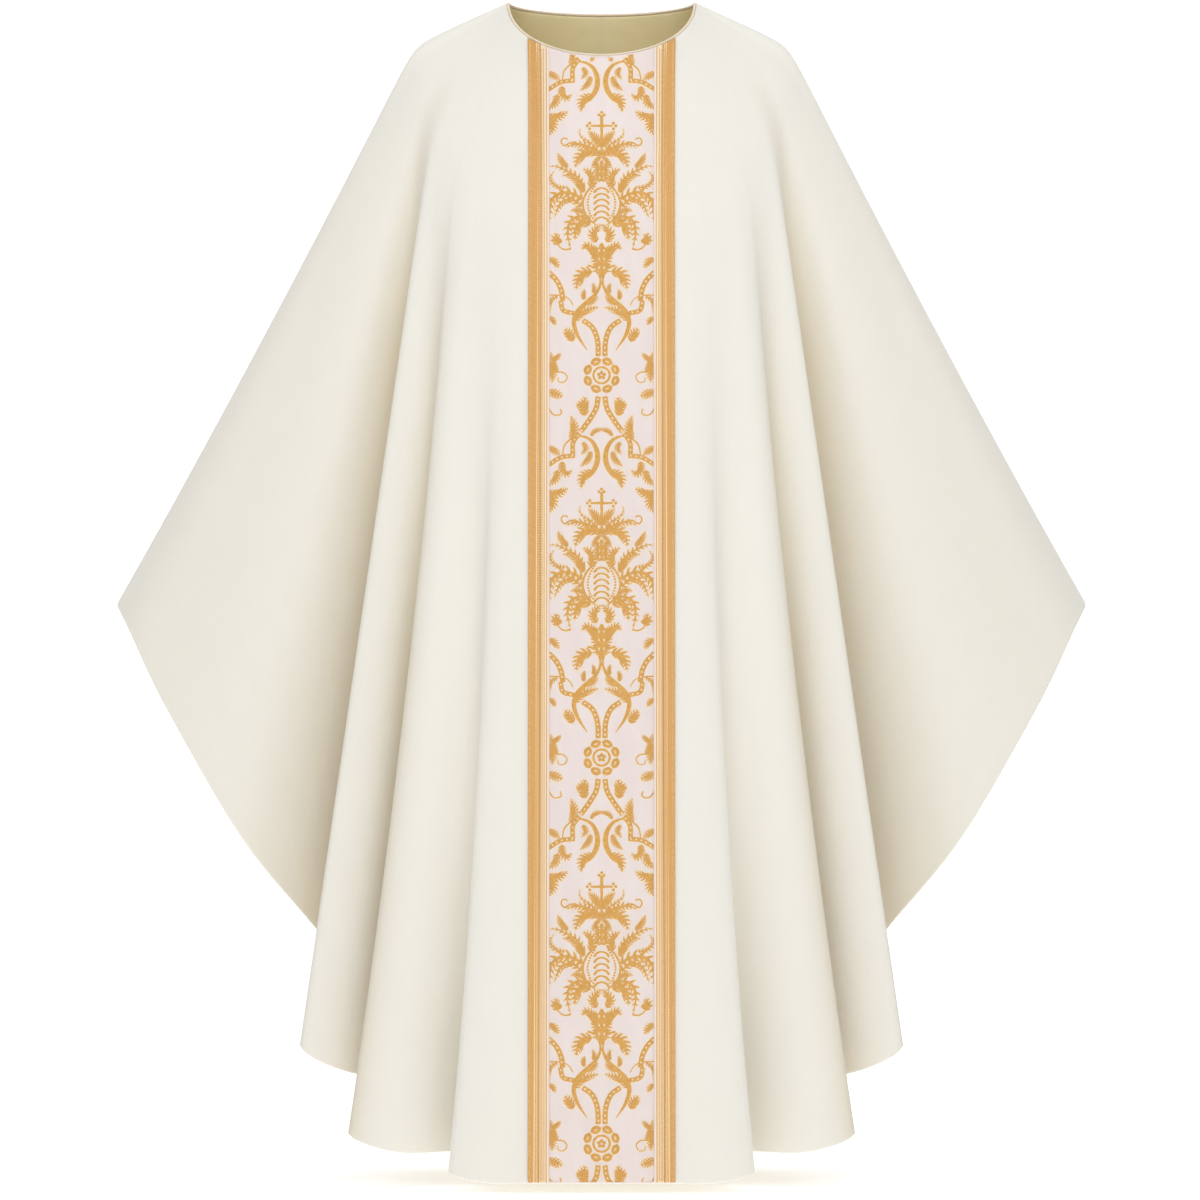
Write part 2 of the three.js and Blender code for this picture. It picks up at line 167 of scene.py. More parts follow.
def thread_ends(end):
    """Neck, support, hem and pleat points, "late" and bend of each thread, centre to seam."""
    side, spread = SIDE[end], 1.0 if end == "front" else BACK_SPREAD
    x = np.array([0, HALF_BAND / 2, HALF_BAND - BRAID_WIDTH, HALF_BAND])
    support = support_at(support_angle(x), end)
    support[:, 0] = x
    forward = side * HEM_DEPTH * (1 - 0.01 * (x / HALF_BAND) ** 2)
    hem = np.stack([x, forward, np.full(4, -LENGTH)], -1)
    straight = (neck_at(np.arcsin(x / HALF_NECK), end), support, hem, np.zeros((4, 3)), np.ones(4),
                np.full(4, CHEST_BEND))

    around = THREADS[:, 0]
    room = HALF_SPREAD - HALF_BAND
    fanned = (
        neck_at(lerp(np.arcsin(HALF_BAND / HALF_NECK), np.pi / 2, around), end),
        support_at(lerp(support_angle(HALF_BAND), np.pi / 2, around), end),
        np.stack([HALF_BAND + THREADS[:, 1] * room * spread,
                  side * HEM_DEPTH * THREADS[:, 2] * spread, -LENGTH * THREADS[:, 3]], -1),
        np.stack([THREADS[:, 4] * room, side * HEM_DEPTH * THREADS[:, 5], 0 * around], -1),
        THREADS[:, 6],
        lerp(CHEST_BEND, SHOULDER_BEND, around**2),
    )
    seam = (
        np.array([[HALF_NECK, 0, 0]]), np.array([[HALF_SHOULDER, 0, -SHOULDER_DROP]]),
        np.array([[HALF_SPREAD, 0, -CORNER_DROP]]), np.array([[SEAM_SAG, 0, 0]]), np.array([2.0]),
        np.array([SHOULDER_BEND]),
    )
    return [np.concatenate(parts) for parts in zip(straight, fanned, seam)]


front_ends, back_ends = thread_ends("front"), thread_ends("back")
SEAM = len(front_ends[0]) - 1
LAST = 2 * SEAM
lines = [np.concatenate([f, b[:-1][::-1]]) for f, b in zip(front_ends, back_ends)]
MIRRORED = 3  # lines of the other half that keep the surface straight at the centre
before, after = [3, 2, 1], [LAST - 1, LAST - 2, LAST - 3]
flip_x = np.array([-1.0, 1.0, 1.0])
neck, support, hem, pleat = (
    np.concatenate([p[before] * flip_x, p, p[after] * flip_x]) for p in lines[:4])
late, bend_size = (np.concatenate([p[before], p, p[after]]) for p in lines[4:])
lying = support - neck
lying_length = np.linalg.norm(lying, axis=1)
line_length = lying_length + np.linalg.norm(hem - support, axis=1)
BRAID_LINE, BAND_LINE = 2, 3  # the lines under the braid's inner edge and under the band's edge
print(LAST + 1, "thread lines, each", line_length.min().round(3), "to",
      line_length.max().round(3), "m long")

# %% [markdown]
# ## The surface between the threads
# A smooth curve through all the lines, row by row, makes the cloth. A natural cubic spline is used
# because it bends like a thin strip that is held at points, as a fold is. Its knots are spaced by
# the distance between the lines, or the cloth would ripple where lines crowd together.

# %% Surface
NUDGE = 1e-3


def rising(t):
    """Half of t plus its own size, with a rounded corner at zero."""
    return (t + np.hypot(t, bend_size)) / 2


def thread_points(v):
    """Points at shares v of each line: neck, plus the lying part times how much of it has lain,
    plus the hanging part times how much of it has hung, plus the pleat times that to "late"."""
    share = lying_length / line_length
    hung = (rising(v - share) - rising(-share)) / (rising(1 - share) - rising(-share))
    lain = (v - (1 - share) * hung) / share
    hanging = hem - support - pleat
    opened = np.maximum(hung, 0) ** late
    return neck + lying * lain[..., None] + hanging * hung[..., None] + pleat * opened[..., None]


def bends(knots, values):
    """Second differences of a natural cubic spline, by a sweep up and a sweep down the knots."""
    bend, carried = np.zeros_like(values), np.zeros_like(values)
    for i in range(1, knots.shape[1] - 1):
        back_step = (knots[:, i] - knots[:, i - 1])[:, None]
        step = (knots[:, i + 1] - knots[:, i])[:, None]
        share = back_step / (back_step + step)
        pivot = share * bend[:, i - 1] + 2
        rise, last_rise = values[:, i + 1] - values[:, i], values[:, i] - values[:, i - 1]
        turn = rise / step - last_rise / back_step
        bend[:, i] = (share - 1) / pivot
        carried[:, i] = (6 * turn / (back_step + step) - share * carried[:, i - 1]) / pivot
    for i in range(knots.shape[1] - 2, -1, -1):
        bend[:, i] = bend[:, i] * bend[:, i + 1] + carried[:, i]
    return bend


def surface(u, rows, nudge=0.0):
    """Points on the drape. u counts thread lines. A row is a share of the way down the line, from a
    distance below the neck edge to a distance above the hem."""
    share, free, head = (rows[:, k:k + 1] for k in range(3))
    v = np.clip(lerp(head / line_length, 1 - free / line_length, share) + nudge, 0, 1)
    points = thread_points(v)
    steps = np.linalg.norm(np.diff(points, axis=1), axis=-1)
    knots = np.concatenate([np.zeros((len(v), 1)), np.cumsum(steps, axis=1)], axis=1)
    bend = bends(knots, points)
    line = np.minimum(np.floor(u), LAST - 1).astype(int)
    i = line + MIRRORED
    b = (u - line)[None, :, None]
    a = 1 - b
    step = (knots[:, i + 1] - knots[:, i])[..., None]
    cubic = (a**3 - a) * bend[:, i] + (b**3 - b) * bend[:, i + 1]
    return a * points[:, i] + b * points[:, i + 1] + cubic * step**2 / 6


def drape(u, rows):
    """Points on the drape and the outward directions there: down the cloth crossed with across."""
    across = surface(np.minimum(u + NUDGE, LAST), rows) - surface(np.maximum(u - NUDGE, 0), rows)
    down = surface(u, rows, NUDGE) - surface(u, rows, -NUDGE)
    outward = np.cross(down, across)
    outward[:, (u == 0) | (u == LAST), 0] = 0
    outward[:, u == SEAM, 1] = 0
    return surface(u, rows), unit(outward)


def even(first, last, count):
    """Line numbers that are evenly spaced along the cloth, halfway between its middle and hem."""
    tries = np.linspace(first, last, 1200)
    row = surface(tries, np.array([[0.82, 0.0, 0.0]]))[0]
    along = np.concatenate([[0], np.cumsum(np.linalg.norm(np.diff(row, axis=0), axis=1))])
    return np.interp(np.linspace(0, along[-1], count), along, tries)


def rows_down(count, free):
    """Rows from the neck to that distance above the hem, closer together over the shoulder."""
    share = np.linspace(0, 1, count) ** 1.25
    return np.stack([share, np.full(count, free), 0 * share], -1)


test = surface(np.array([0.0, SEAM, LAST]), np.array([[1.0, 0.0, 0.0]]))[0]
print("hem at the centre front, the seam and the centre back", test.round(3).tolist())

# %% [markdown]
# ## Flat patterns
# Before it was sewn, each piece was a flat cut. Laying the thread lines out in a plane, each beside
# the last at its neck distance and turned by what the hem is wider, gives that cut. It serves
# twice: as the size of each sheet, and as the coordinates of the weave, which then follows the
# threads round every fold.

# %% Flat patterns
def flat_pattern(points):
    """The plane place of each grid point: its line's start plus how far down it is along its line,
    which is turned by the sum of (hem step - neck step) / line length."""
    down = np.linalg.norm(np.diff(points, axis=0), axis=-1)
    down = np.concatenate([np.zeros((1, points.shape[1])), np.cumsum(down, axis=0)])
    neck_step = np.linalg.norm(np.diff(points[0], axis=0), axis=-1)
    hem_step = np.linalg.norm(np.diff(points[-1], axis=0), axis=-1)
    length = (down[-1, 1:] + down[-1, :-1]) / 2
    turn = np.concatenate([[0], np.cumsum((hem_step - neck_step) / length)])
    middle = (turn[1:] + turn[:-1]) / 2
    start_x = np.concatenate([[0], np.cumsum(neck_step * np.cos(middle))])
    start_y = np.concatenate([[0], np.cumsum(neck_step * np.sin(middle))])
    return np.stack([start_x + down * np.sin(turn), start_y - down * np.cos(turn)], -1)


def tape_size(points):
    """A tape is cut straight: its length is that of its middle line, and its width its area over
    that."""
    side, down = np.diff(points, axis=1)[:-1], np.diff(points, axis=0)[:, :-1]
    area = np.linalg.norm(np.cross(side, down), axis=-1).sum()
    rows, cols = points.shape[:2]
    middle = points[rows // 2] if rows < cols else points[:, cols // 2]
    length = np.linalg.norm(np.diff(middle, axis=0), axis=1).sum()
    return float(area / length), float(length), float(area)


def flat_size(uv):
    """Width and length of the cut's box, and its area by adding up its cells."""
    a, b = uv[1:, 1:] - uv[:-1, :-1], uv[1:, :-1] - uv[:-1, 1:]
    area = np.abs(a[..., 0] * b[..., 1] - a[..., 1] * b[..., 0]).sum() / 2
    box = uv.reshape(-1, 2).max(0) - uv.reshape(-1, 2).min(0)
    return float(box[0]), float(box[1]), float(area)


quarter = flat_pattern(surface(np.linspace(0, SEAM, 60), rows_down(60, 0.0)))
print("a front quarter laid flat: width, length, area", np.round(flat_size(quarter), 3).tolist())

# %% [markdown]
# ## Sheets
# Each cloth layer is a closed thin solid: a grid of points on its outer face, one on its inner
# face, and a rounded rim between them. The rim could be left square, but an edge without rounding
# catches no light and makes cloth look like card.

# %% Sheets
def mesh_object(name, points, quads, uv=None, values=None):
    """A smooth object from points and four-cornered faces. uv and values belong to the points."""
    mesh = bpy.data.meshes.new(name)
    mesh.vertices.add(len(points))
    mesh.vertices.foreach_set("co", points.astype(np.float32).ravel())
    corners = quads.astype(np.int32).ravel()
    mesh.loops.add(len(corners))
    mesh.loops.foreach_set("vertex_index", corners)
    mesh.polygons.add(len(quads))
    mesh.polygons.foreach_set("loop_start", np.arange(0, len(corners), 4, dtype=np.int32))
    mesh.update(calc_edges=True)
    mesh.polygons.foreach_set("use_smooth", np.ones(len(quads), dtype=bool))
    if uv is not None:
        layer = mesh.uv_layers.new(name="UVMap")
        layer.data.foreach_set("uv", uv[corners].astype(np.float32).ravel())
    if values is not None:
        # The fold attribute holds the painted shade of the fold valleys, which darkens the ivory
        # cloth's colour.
        kept = mesh.attributes.new("fold", "FLOAT", "POINT")
        kept.data.foreach_set("value", values.astype(np.float32).ravel())
    mesh.update()
    made = bpy.data.objects.new(name, mesh)
    bpy.context.scene.collection.objects.link(made)
    return made


def mirrored(array):
    """The same points on the other side of the centre."""
    return array * flip_x


def sheet_parts(inner, outer, rim=3):
    """Points and faces of a closed sheet. Rim point k is at the middle of the edge, plus half the
    thickness times the cosine of k steps of a half circle, plus the same times the sine outwards.
    """
    rows, cols = outer.shape[:2]
    index = np.arange(rows * cols).reshape(rows, cols)
    loop = np.concatenate([index[:, 0], index[-1, 1:], index[-2::-1, -1], index[0, -2:0:-1]])
    out = np.zeros_like(outer)
    out[0] += unit(outer[0] - outer[1])
    out[-1] += unit(outer[-1] - outer[-2])
    out[:, 0] += unit(outer[:, 0] - outer[:, 1])
    out[:, -1] += unit(outer[:, -1] - outer[:, -2])
    out = unit(out).reshape(-1, 3)[loop]
    top, bottom = outer.reshape(-1, 3)[loop], inner.reshape(-1, 3)[loop]
    half = (top - bottom) / 2
    turn = (np.pi * np.arange(1, rim + 1) / (rim + 1))[:, None, None]
    size = np.linalg.norm(half, axis=1)[None, :, None]
    rings = (top + bottom) / 2 + half * np.cos(turn) + out * size * np.sin(turn)
    points = np.concatenate([outer.reshape(-1, 3), rings.reshape(-1, 3), inner.reshape(-1, 3)])
    n, m = rows * cols, len(loop)
    rim_index = n + np.arange(rim * m).reshape(rim, m)
    levels = np.concatenate([loop[None], rim_index, (n + rim * m + loop)[None]])
    cell = np.stack([index[:-1, :-1], index[1:, :-1], index[1:, 1:], index[:-1, 1:]], -1)
    cell = cell.reshape(-1, 4)
    onward = np.roll(levels, -1, axis=1)
    strip = np.stack([onward[:-1], levels[:-1], levels[1:], onward[1:]], -1).reshape(-1, 4)
    quads = np.concatenate([cell, strip, cell[:, ::-1] + n + rim * m])
    owner = np.concatenate([index.ravel(), np.tile(loop, rim), index.ravel()])
    return points, quads, owner


def add_sheet(name, inner, outer, uv, flip=False, values=None):
    """A closed sheet as an object. flip turns its faces round."""
    points, quads, owner = sheet_parts(inner, outer)
    quads = quads[:, ::-1] if flip else quads
    # values, if given, are the painted shade of each point.
    kept = None if values is None else values.reshape(-1)[owner]
    return mesh_object(name, points, quads, uv.reshape(-1, 2)[owner], kept)


def both_halves(grid):
    """The left half's grid, which starts at the centre line, joined to its mirror image."""
    return np.concatenate([mirrored(grid[:, :0:-1]), grid], axis=1)


def inset(points, u, end, gap=GAP):
    """Columns at the seams drawn back by the gap, so that neighbours lie side by side."""
    moved = points.copy()
    moved[:, (u == 0) | (u == LAST), 0] += gap
    moved[:, u == SEAM, 1] += SIDE[end] * gap
    return moved


HANDS = (("left", lambda p: p), ("right", mirrored))  # only the left half is worked out
patch, facing = drape(np.array([0.0, 1.0, 2.0]), rows_down(3, 0.0))
print("3 by 3 places close with", len(sheet_parts(patch, patch + facing * 0.001)[1]), "faces")

# %% [markdown]
# ## Painted shade in the hollows
# Deep between two folds the cloth looks warmer and darker, since the light there has come off other
# cloth. The lamps could be left to show that, but soft lamps light a hollow nearly as much as a
# fold. So that shade is painted into the colour: each place keeps a number for how much painted
# shade it takes, from its thread line and how far down it lies, and the cloth's finish tints by it.

# %% Painted shade in the hollows
# Painted shade: each valley below darkens and warms the cloth's colour along its middle line.
PAINTED_SHADE_VALLEYS = [  # middle line, width in lines, strength, shares of the way down: its start and full
    (6.5, 0.9, 0.35, 0.35, 0.95),
    (11.2, 1.3, 1.00, 0.18, 0.62),
    (15.6, 1.0, 0.85, 0.07, 0.40),
    (18.8, 1.6, 0.14, 0.10, 0.40),  # the sleeve, which hangs in the arm's shade
]


def painted_valley_shade_at(u, rows):
    """How much painted shade a place takes, from 0 to 1: for each valley a bell curve across its
    lines, times how far it has opened."""
    folded = np.minimum(u, LAST - u)
    share = rows[:, :1]
    depth = 0
    for middle, width, strength, start, full in PAINTED_SHADE_VALLEYS:
        bell = np.exp(-(((folded - middle) / width) ** 2))
        depth = depth + strength * bell * np.clip((share - start) / (full - start), 0, 1)
    return depth


print("deepest at", max(PAINTED_SHADE_VALLEYS, key=lambda valley: valley[2])[0], "thread lines from the centre")

# %% [markdown]
# ## Panels and linings
# The outer cloth is cut in four panels, and the lining in four more under them. The outer cloth is
# turned up at the hem, so there its inner face steps down to where the lining's would be. Each
# right panel is the left one's mirror image, as the two are cut from one folded cloth.

# %% Panels and linings
pieces = {}
flats = {}
COLUMNS = {"front": even(0, SEAM, 170), "back": even(SEAM, LAST, 170)}
COLUMNS["front"][[0, -1]] = 0, SEAM
COLUMNS["back"][[0, -1]] = SEAM, LAST
above_hem = HEM_TURNING + LINING_LIFT
SEWN = 0.00004  # the lining's seams are pressed shut
free_rows = np.array([0.033, 0.030, 0.0285, 0.027, 0.022, 0.016, 0.010, 0.005, 0.002, 0.0])
hem_rows = np.stack([np.ones(len(free_rows)), free_rows, 0 * free_rows], -1)
panel_rows = np.concatenate([rows_down(150, above_hem), hem_rows])
lining_rows = rows_down(110, above_hem)
free = panel_rows[:, 1]
turned = np.clip((HEM_TURNING - free) / HEM_STEP, 0, 1) * (free < HEM_TURNING)
panel_inner = lerp(DEPTH["outer"][0], DEPTH["lining"][0], turned)[:, None, None]

for end in SIDE:
    u = COLUMNS[end]
    points, outward = drape(u, panel_rows)
    # The painted shade of the fold valleys at each point, kept on the sheet for the cloth's colour.
    painted_shade = painted_valley_shade_at(u, panel_rows)
    outer = inset(points + outward * DEPTH["outer"][1], u, end)
    inner = inset(points + outward * panel_inner, u, end)
    cut = flat_pattern(points)
    for hand, image in HANDS:
        name = f"{end}_panel_{hand}"
        pieces[name] = add_sheet(name, image(inner), image(outer), cut, hand == "right", painted_shade)
        flats[name] = flat_size(cut)

    u = u[::2] if len(u) % 2 else np.concatenate([u[:-1:2], u[-1:]])
    points, outward = drape(u, lining_rows)
    # The painted shade of the fold valleys, kept on the lining too, whose satin does not use it.
    painted_shade = painted_valley_shade_at(u, lining_rows)
    outer = inset(points + outward * DEPTH["lining"][1], u, end, SEWN)
    inner = inset(points + outward * DEPTH["lining"][0], u, end, SEWN)
    cut = flat_pattern(points)
    for hand, image in HANDS:
        name = f"{end}_lining_{hand}"
        pieces[name] = add_sheet(name, image(inner), image(outer), cut, hand == "right", painted_shade)
        flats[name] = flat_size(cut)
print({name: [round(v, 3) for v in size] for name, size in flats.items() if "left" in name})

# %% [markdown]
# ## The band, its canvas and the braids
# Down the front and the back runs a band of brocade on a canvas, edged with two woven braids. They
# lie on the panels where the thread lines are straight, so they hang flat. A band woven into the
# cloth itself would have no thickness of its own, and its edge would not show.

# %% Band, canvas and braids
down_rows = np.concatenate([rows_down(190, 0.02), hem_rows[-5:-1], hem_rows[-1:]])
BRAID_TOP = DEPTH["braid"][0] + 0.0007  # the woven ground of the braid, under its cords
across_band = np.linspace(0, BAND_LINE, 25)
across_braid = np.linspace(BRAID_LINE, BAND_LINE, 11)
for end in SIDE:
    u_band = across_band if end == "front" else LAST - across_band
    u_braid = across_braid if end == "front" else LAST - across_braid
    points, outward = drape(u_band, down_rows)
    points, outward = both_halves(points), both_halves(outward)
    cut = flat_pattern(points)
    for layer in ("canvas", "band"):
        name = f"{end}_band_canvas" if layer == "canvas" else f"{end}_band"
        inner, outer = (points + outward * depth for depth in DEPTH[layer])
        pieces[name] = add_sheet(name, inner, outer, cut, end == "back")
        flats[name] = flat_size(cut)
    points, outward = drape(u_braid, down_rows)
    cut = flat_pattern(points)
    inner, outer = points + outward * DEPTH["braid"][0], points + outward * BRAID_TOP
    for hand, image in HANDS:
        name = f"{end}_braid_{hand}"
        flip = (end == "back") != (hand == "right")
        pieces[name] = add_sheet(name, image(inner), image(outer), cut, flip)
        flats[name] = flat_size(cut)
print("band", [round(v, 3) for v in flats["front_band"]])

# %% [markdown]
# ## Stay tapes and piping
# Tapes between the outer cloth and the lining keep the neck and the shoulder seams from
# stretching. The neck edge is finished with a rolled piping, one closed ring of cord in cloth.

# %% Tapes and piping
neck_rows = np.stack([np.zeros(9), np.zeros(9), np.linspace(0, NECK_STAY, 9)], -1)
for end in SIDE:
    u = COLUMNS[end][::2].copy()
    u = np.concatenate([u, [SEAM]]) if end == "front" and u[-1] != SEAM else u
    u = np.concatenate([u, [LAST]]) if end == "back" and u[-1] != LAST else u
    u = u if end == "front" else u[::-1]
    points, outward = drape(u, neck_rows)
    inner = inset(points + outward * DEPTH["stay"][0], u, end)
    outer = inset(points + outward * DEPTH["stay"][1], u, end)
    inner[:, 0, 0], outer[:, 0, 0] = 0, 0
    name = f"neck_stay_{end}"
    cut = flat_pattern(both_halves(points))
    pieces[name] = add_sheet(name, both_halves(inner), both_halves(outer), cut, end == "back")
    flats[name] = tape_size(both_halves(points))

u = np.linspace(SEAM - 1, SEAM + 1, 17)
shoulder_rows = np.stack(
    [np.linspace(0.04, 0.22, 60), np.full(60, above_hem), np.full(60, NECK_STAY)], -1)
points, outward = drape(u, shoulder_rows)
cut = flat_pattern(points)
inner, outer = (points + outward * depth for depth in DEPTH["stay"])
for hand, image in HANDS:
    name = f"shoulder_stay_{hand}"
    pieces[name] = add_sheet(name, image(inner), image(outer), cut, hand == "right")
    flats[name] = tape_size(points)

PIPING, PIPING_CORNERS = 0.0017, 14  # its radius, and how many points go round it
around_neck = np.concatenate([COLUMNS["front"], COLUMNS["back"][1:]])
points, outward = drape(around_neck, np.array([[0.0, 0.0, 0.0], [0.0, 0.0, NUDGE]]))
upward = unit(points[0] - points[1])
middle = (DEPTH["outer"][1] + DEPTH["lining"][0]) / 2
centre = points[0] + outward[0] * middle + upward * (PIPING + GAP)
turn = 2 * np.pi * np.arange(PIPING_CORNERS) / PIPING_CORNERS
half_ring = (centre[:, None] + PIPING * (outward[0][:, None] * np.cos(turn)[:, None]
                                        + upward[:, None] * np.sin(turn)[:, None]))
ring = np.concatenate([half_ring, mirrored(half_ring)[-2:0:-1]])
count = len(ring)
index = np.arange(count * PIPING_CORNERS).reshape(count, PIPING_CORNERS)
onward, upper = np.roll(index, -1, axis=0), np.roll(index, -1, axis=1)
quads = np.stack([index, onward, np.roll(onward, -1, axis=1), upper], -1).reshape(-1, 4)
along = np.concatenate([[0], np.cumsum(np.linalg.norm(np.diff(ring.mean(1), axis=0), axis=1))])
ring_uv = np.stack(np.broadcast_arrays(along[:, None], PIPING * turn[None, :]), -1)
name = "neck_piping"
pieces[name] = mesh_object(name, ring.reshape(-1, 3), quads, ring_uv.reshape(-1, 2))
print("piping", round(float(along[-1]), 3), "m round the neck")

# %% [markdown]
# ## A place on the band
# The woven figure is drawn in millimetres on the flat band: across from the centre line, and down
# from the middle of the first cross. To put it on the hanging band, its surface is kept as a table
# of depths over a plain grid of places, which is quick to look up for a million points.

# %% The band as a table
TABLE_STEP, TABLE_COLUMNS = 0.002, 27
table_x = np.linspace(0, HALF_BAND, TABLE_COLUMNS)
table_z = np.arange(-LENGTH - 0.004, 0.0, TABLE_STEP)
FIRST_CROSS = -0.1415
tables = {}
for end in SIDE:
    u = np.linspace(0, BAND_LINE, TABLE_COLUMNS)
    u = u if end == "front" else LAST - u
    points = surface(u, np.stack([np.linspace(0, 1, 500), np.zeros(500), np.zeros(500)], -1))
    by_column = np.stack(
        [np.interp(table_z, p[::-1, 2], p[::-1, 1]) for p in points.transpose(1, 0, 2)], 1)
    columns_x = points[250, :, 0]
    depth = np.stack([np.interp(table_x, columns_x, row) for row in by_column])
    top_edge = np.interp(table_x, columns_x, points[0, :, 2])
    centre_line = points[:, 0]
    along = np.concatenate([[0], np.cumsum(np.linalg.norm(np.diff(centre_line, axis=0), axis=1))])
    slope_z, slope_x = np.gradient(depth, table_z, table_x)
    tables[end] = (depth, slope_x, slope_z, top_edge, centre_line[:, 2], along)


def look_up(table, x, z):
    """The table's value between its four nearest entries, each weighted by how near it is."""
    i = np.clip((z - table_z[0]) / TABLE_STEP, 0, len(table_z) - 1.001)
    j = np.clip(x / (table_x[1] - table_x[0]), 0, len(table_x) - 1.001)
    i0, j0 = i.astype(int), j.astype(int)
    a, b = i - i0, j - j0
    low = lerp(table[i0, j0], table[i0, j0 + 1], b)
    return lerp(low, lerp(table[i0 + 1, j0], table[i0 + 1, j0 + 1], b), a)


def on_band(end, across, down, lift, edge):
    """The point of the hanging band at that place, plus the lift times the outward direction,
    which is square to the table's slopes. Nothing goes past the edge, the neck or the hem."""
    depth, slope_x, slope_z, top_edge, centre_z, along = tables[end]
    cross_at = np.interp(FIRST_CROSS, centre_z[::-1], along[::-1])
    x = np.clip(across, -edge, edge)
    z = np.interp(cross_at + down, along, centre_z)
    z = np.where(cross_at + down < 0, centre_z[0] - (cross_at + down), z)
    top = np.interp(np.abs(x), table_x, top_edge) - 0.001
    z = np.clip(z, -LENGTH + 0.0005, top)
    y = look_up(depth, np.abs(x), z)
    tilt_x, tilt_z = look_up(slope_x, np.abs(x), z) * np.sign(x), look_up(slope_z, np.abs(x), z)
    outward = unit(np.stack([-tilt_x, np.ones_like(x), -tilt_z], -1)) * SIDE[end]
    return np.stack([x, y, z], -1) + outward * (DEPTH["band"][1] + lift)[..., None]


print("band reaches", on_band("front", np.zeros(1), np.array([2.0]), np.zeros(1), 0.057).round(3))

# %% [markdown]
# ## Ribbons
# Every stroke of the figure is a ribbon: a tapered, domed, closed strip along a curve. Ribbons are
# made in batches of one length, so a hundred leaves cost one call. A flat picture on the band would
# be simpler, but it would have no relief for the light to catch.

# %% Ribbons
def smooth_path(points, count):
    """A curve through the points: cubic pieces whose slopes are the differences on either side."""
    points = np.array(points, float)
    knots = np.concatenate([[0], np.cumsum(np.linalg.norm(np.diff(points, axis=0), axis=1))])
    slopes = np.gradient(points, knots, axis=0)
    t = np.linspace(0, knots[-1], count)
    i = np.clip(np.searchsorted(knots, t, side="right") - 1, 0, len(points) - 2)
    step = (knots[i + 1] - knots[i])[:, None]
    s = ((t - knots[i]) / step[:, 0])[:, None]
    start, finish = (1 + 2 * s) * (1 - s) ** 2, s**2 * (3 - 2 * s)
    leave, arrive = s * (1 - s) ** 2 * step, s**2 * (s - 1) * step
    return start * points[i] + finish * points[i + 1] + leave * slopes[i] + arrive * slopes[i + 1]


def ribbons(end, paths, widths, lift, height, edge, grow=0.0):
    """Points, faces and uv of domed strips. Each section has corners at -1, -0.75, 0.75 and 1 half
    widths across. The inner two are raised by the height times the root of how wide the strip is.
    """
    tangent = unit(np.gradient(paths, axis=1))
    if grow:
        paths = paths.copy()
        paths[:, 0] -= tangent[:, 0] * grow
        paths[:, -1] += tangent[:, -1] * grow
    side = np.stack([-tangent[..., 1], tangent[..., 0]], -1)
    wide = widths + grow
    corner = np.array([-1.0, -0.75, 0.75, 1.0])
    places = paths[:, :, None] + side[:, :, None] * (wide[..., None] * corner)[..., None]
    dome = np.sqrt(np.clip(wide / 0.0014, 0.15, 1.6))[..., None] * np.array([0, 1.0, 1.0, 0])
    points = on_band(end, places[..., 0], places[..., 1], lift + height * dome, edge)
    batch, count = paths.shape[:2]
    index = np.arange(batch * count * 4).reshape(batch, count, 4)
    turned = np.roll(index, -1, axis=2)
    body = np.stack([index[:, :-1], turned[:, :-1], turned[:, 1:], index[:, 1:]], -1)
    caps = np.concatenate([index[:, 0, ::-1], index[:, -1]])
    quads = np.concatenate([body.reshape(-1, 4), caps.reshape(-1, 4)])
    along = np.concatenate([np.zeros((batch, 1)),
                            np.cumsum(np.linalg.norm(np.diff(paths, axis=1), axis=-1), axis=1)], 1)
    uv = np.stack(np.broadcast_arrays(along[..., None], wide[..., None] * corner), -1)
    return points.reshape(-1, 3), quads, uv.reshape(-1, 2)


def outward_volume(points, quads):
    """Six times the volume inside the faces, negative if they face inwards."""
    a, b, c, d = (points[quads[:, k]] for k in range(4))
    return (a * np.cross(b, c)).sum() + (a * np.cross(c, d)).sum()


def join(parts):
    """Several meshes as one, each turned to face outwards."""
    all_points, all_quads, all_uv, start = [], [], [], 0
    for points, quads, uv in parts:
        quads = quads if outward_volume(points - points.mean(0), quads) > 0 else quads[:, ::-1]
        all_points.append(points), all_quads.append(quads + start), all_uv.append(uv)
        start += len(points)
    return np.concatenate(all_points), np.concatenate(all_quads), np.concatenate(all_uv)


trial_path = np.linspace([[0.0, 0.0]], [[0.0, 0.05]], 9, axis=1)
trial = join([ribbons("front", trial_path, np.full((1, 9), 0.001), 0.0, 0.0003, HALF_BAND)])
print("a ribbon 50 by 2 mm holds", round(outward_volume(*trial[:2]) / 6 * 1e9, 1), "cubic mm")

# %% [markdown]
# ## The figure
# One repeat of the brocade, drawn for one half: a cross on a pomegranate, set in acanthus leaves,
# and below it a rosette that beaded straps and scrolls grow from. The strokes are given by a few
# points each, in millimetres across and down. The leaves are grown: a rib, with curled lobes along
# both sides that are longest near the leaf's lower third.

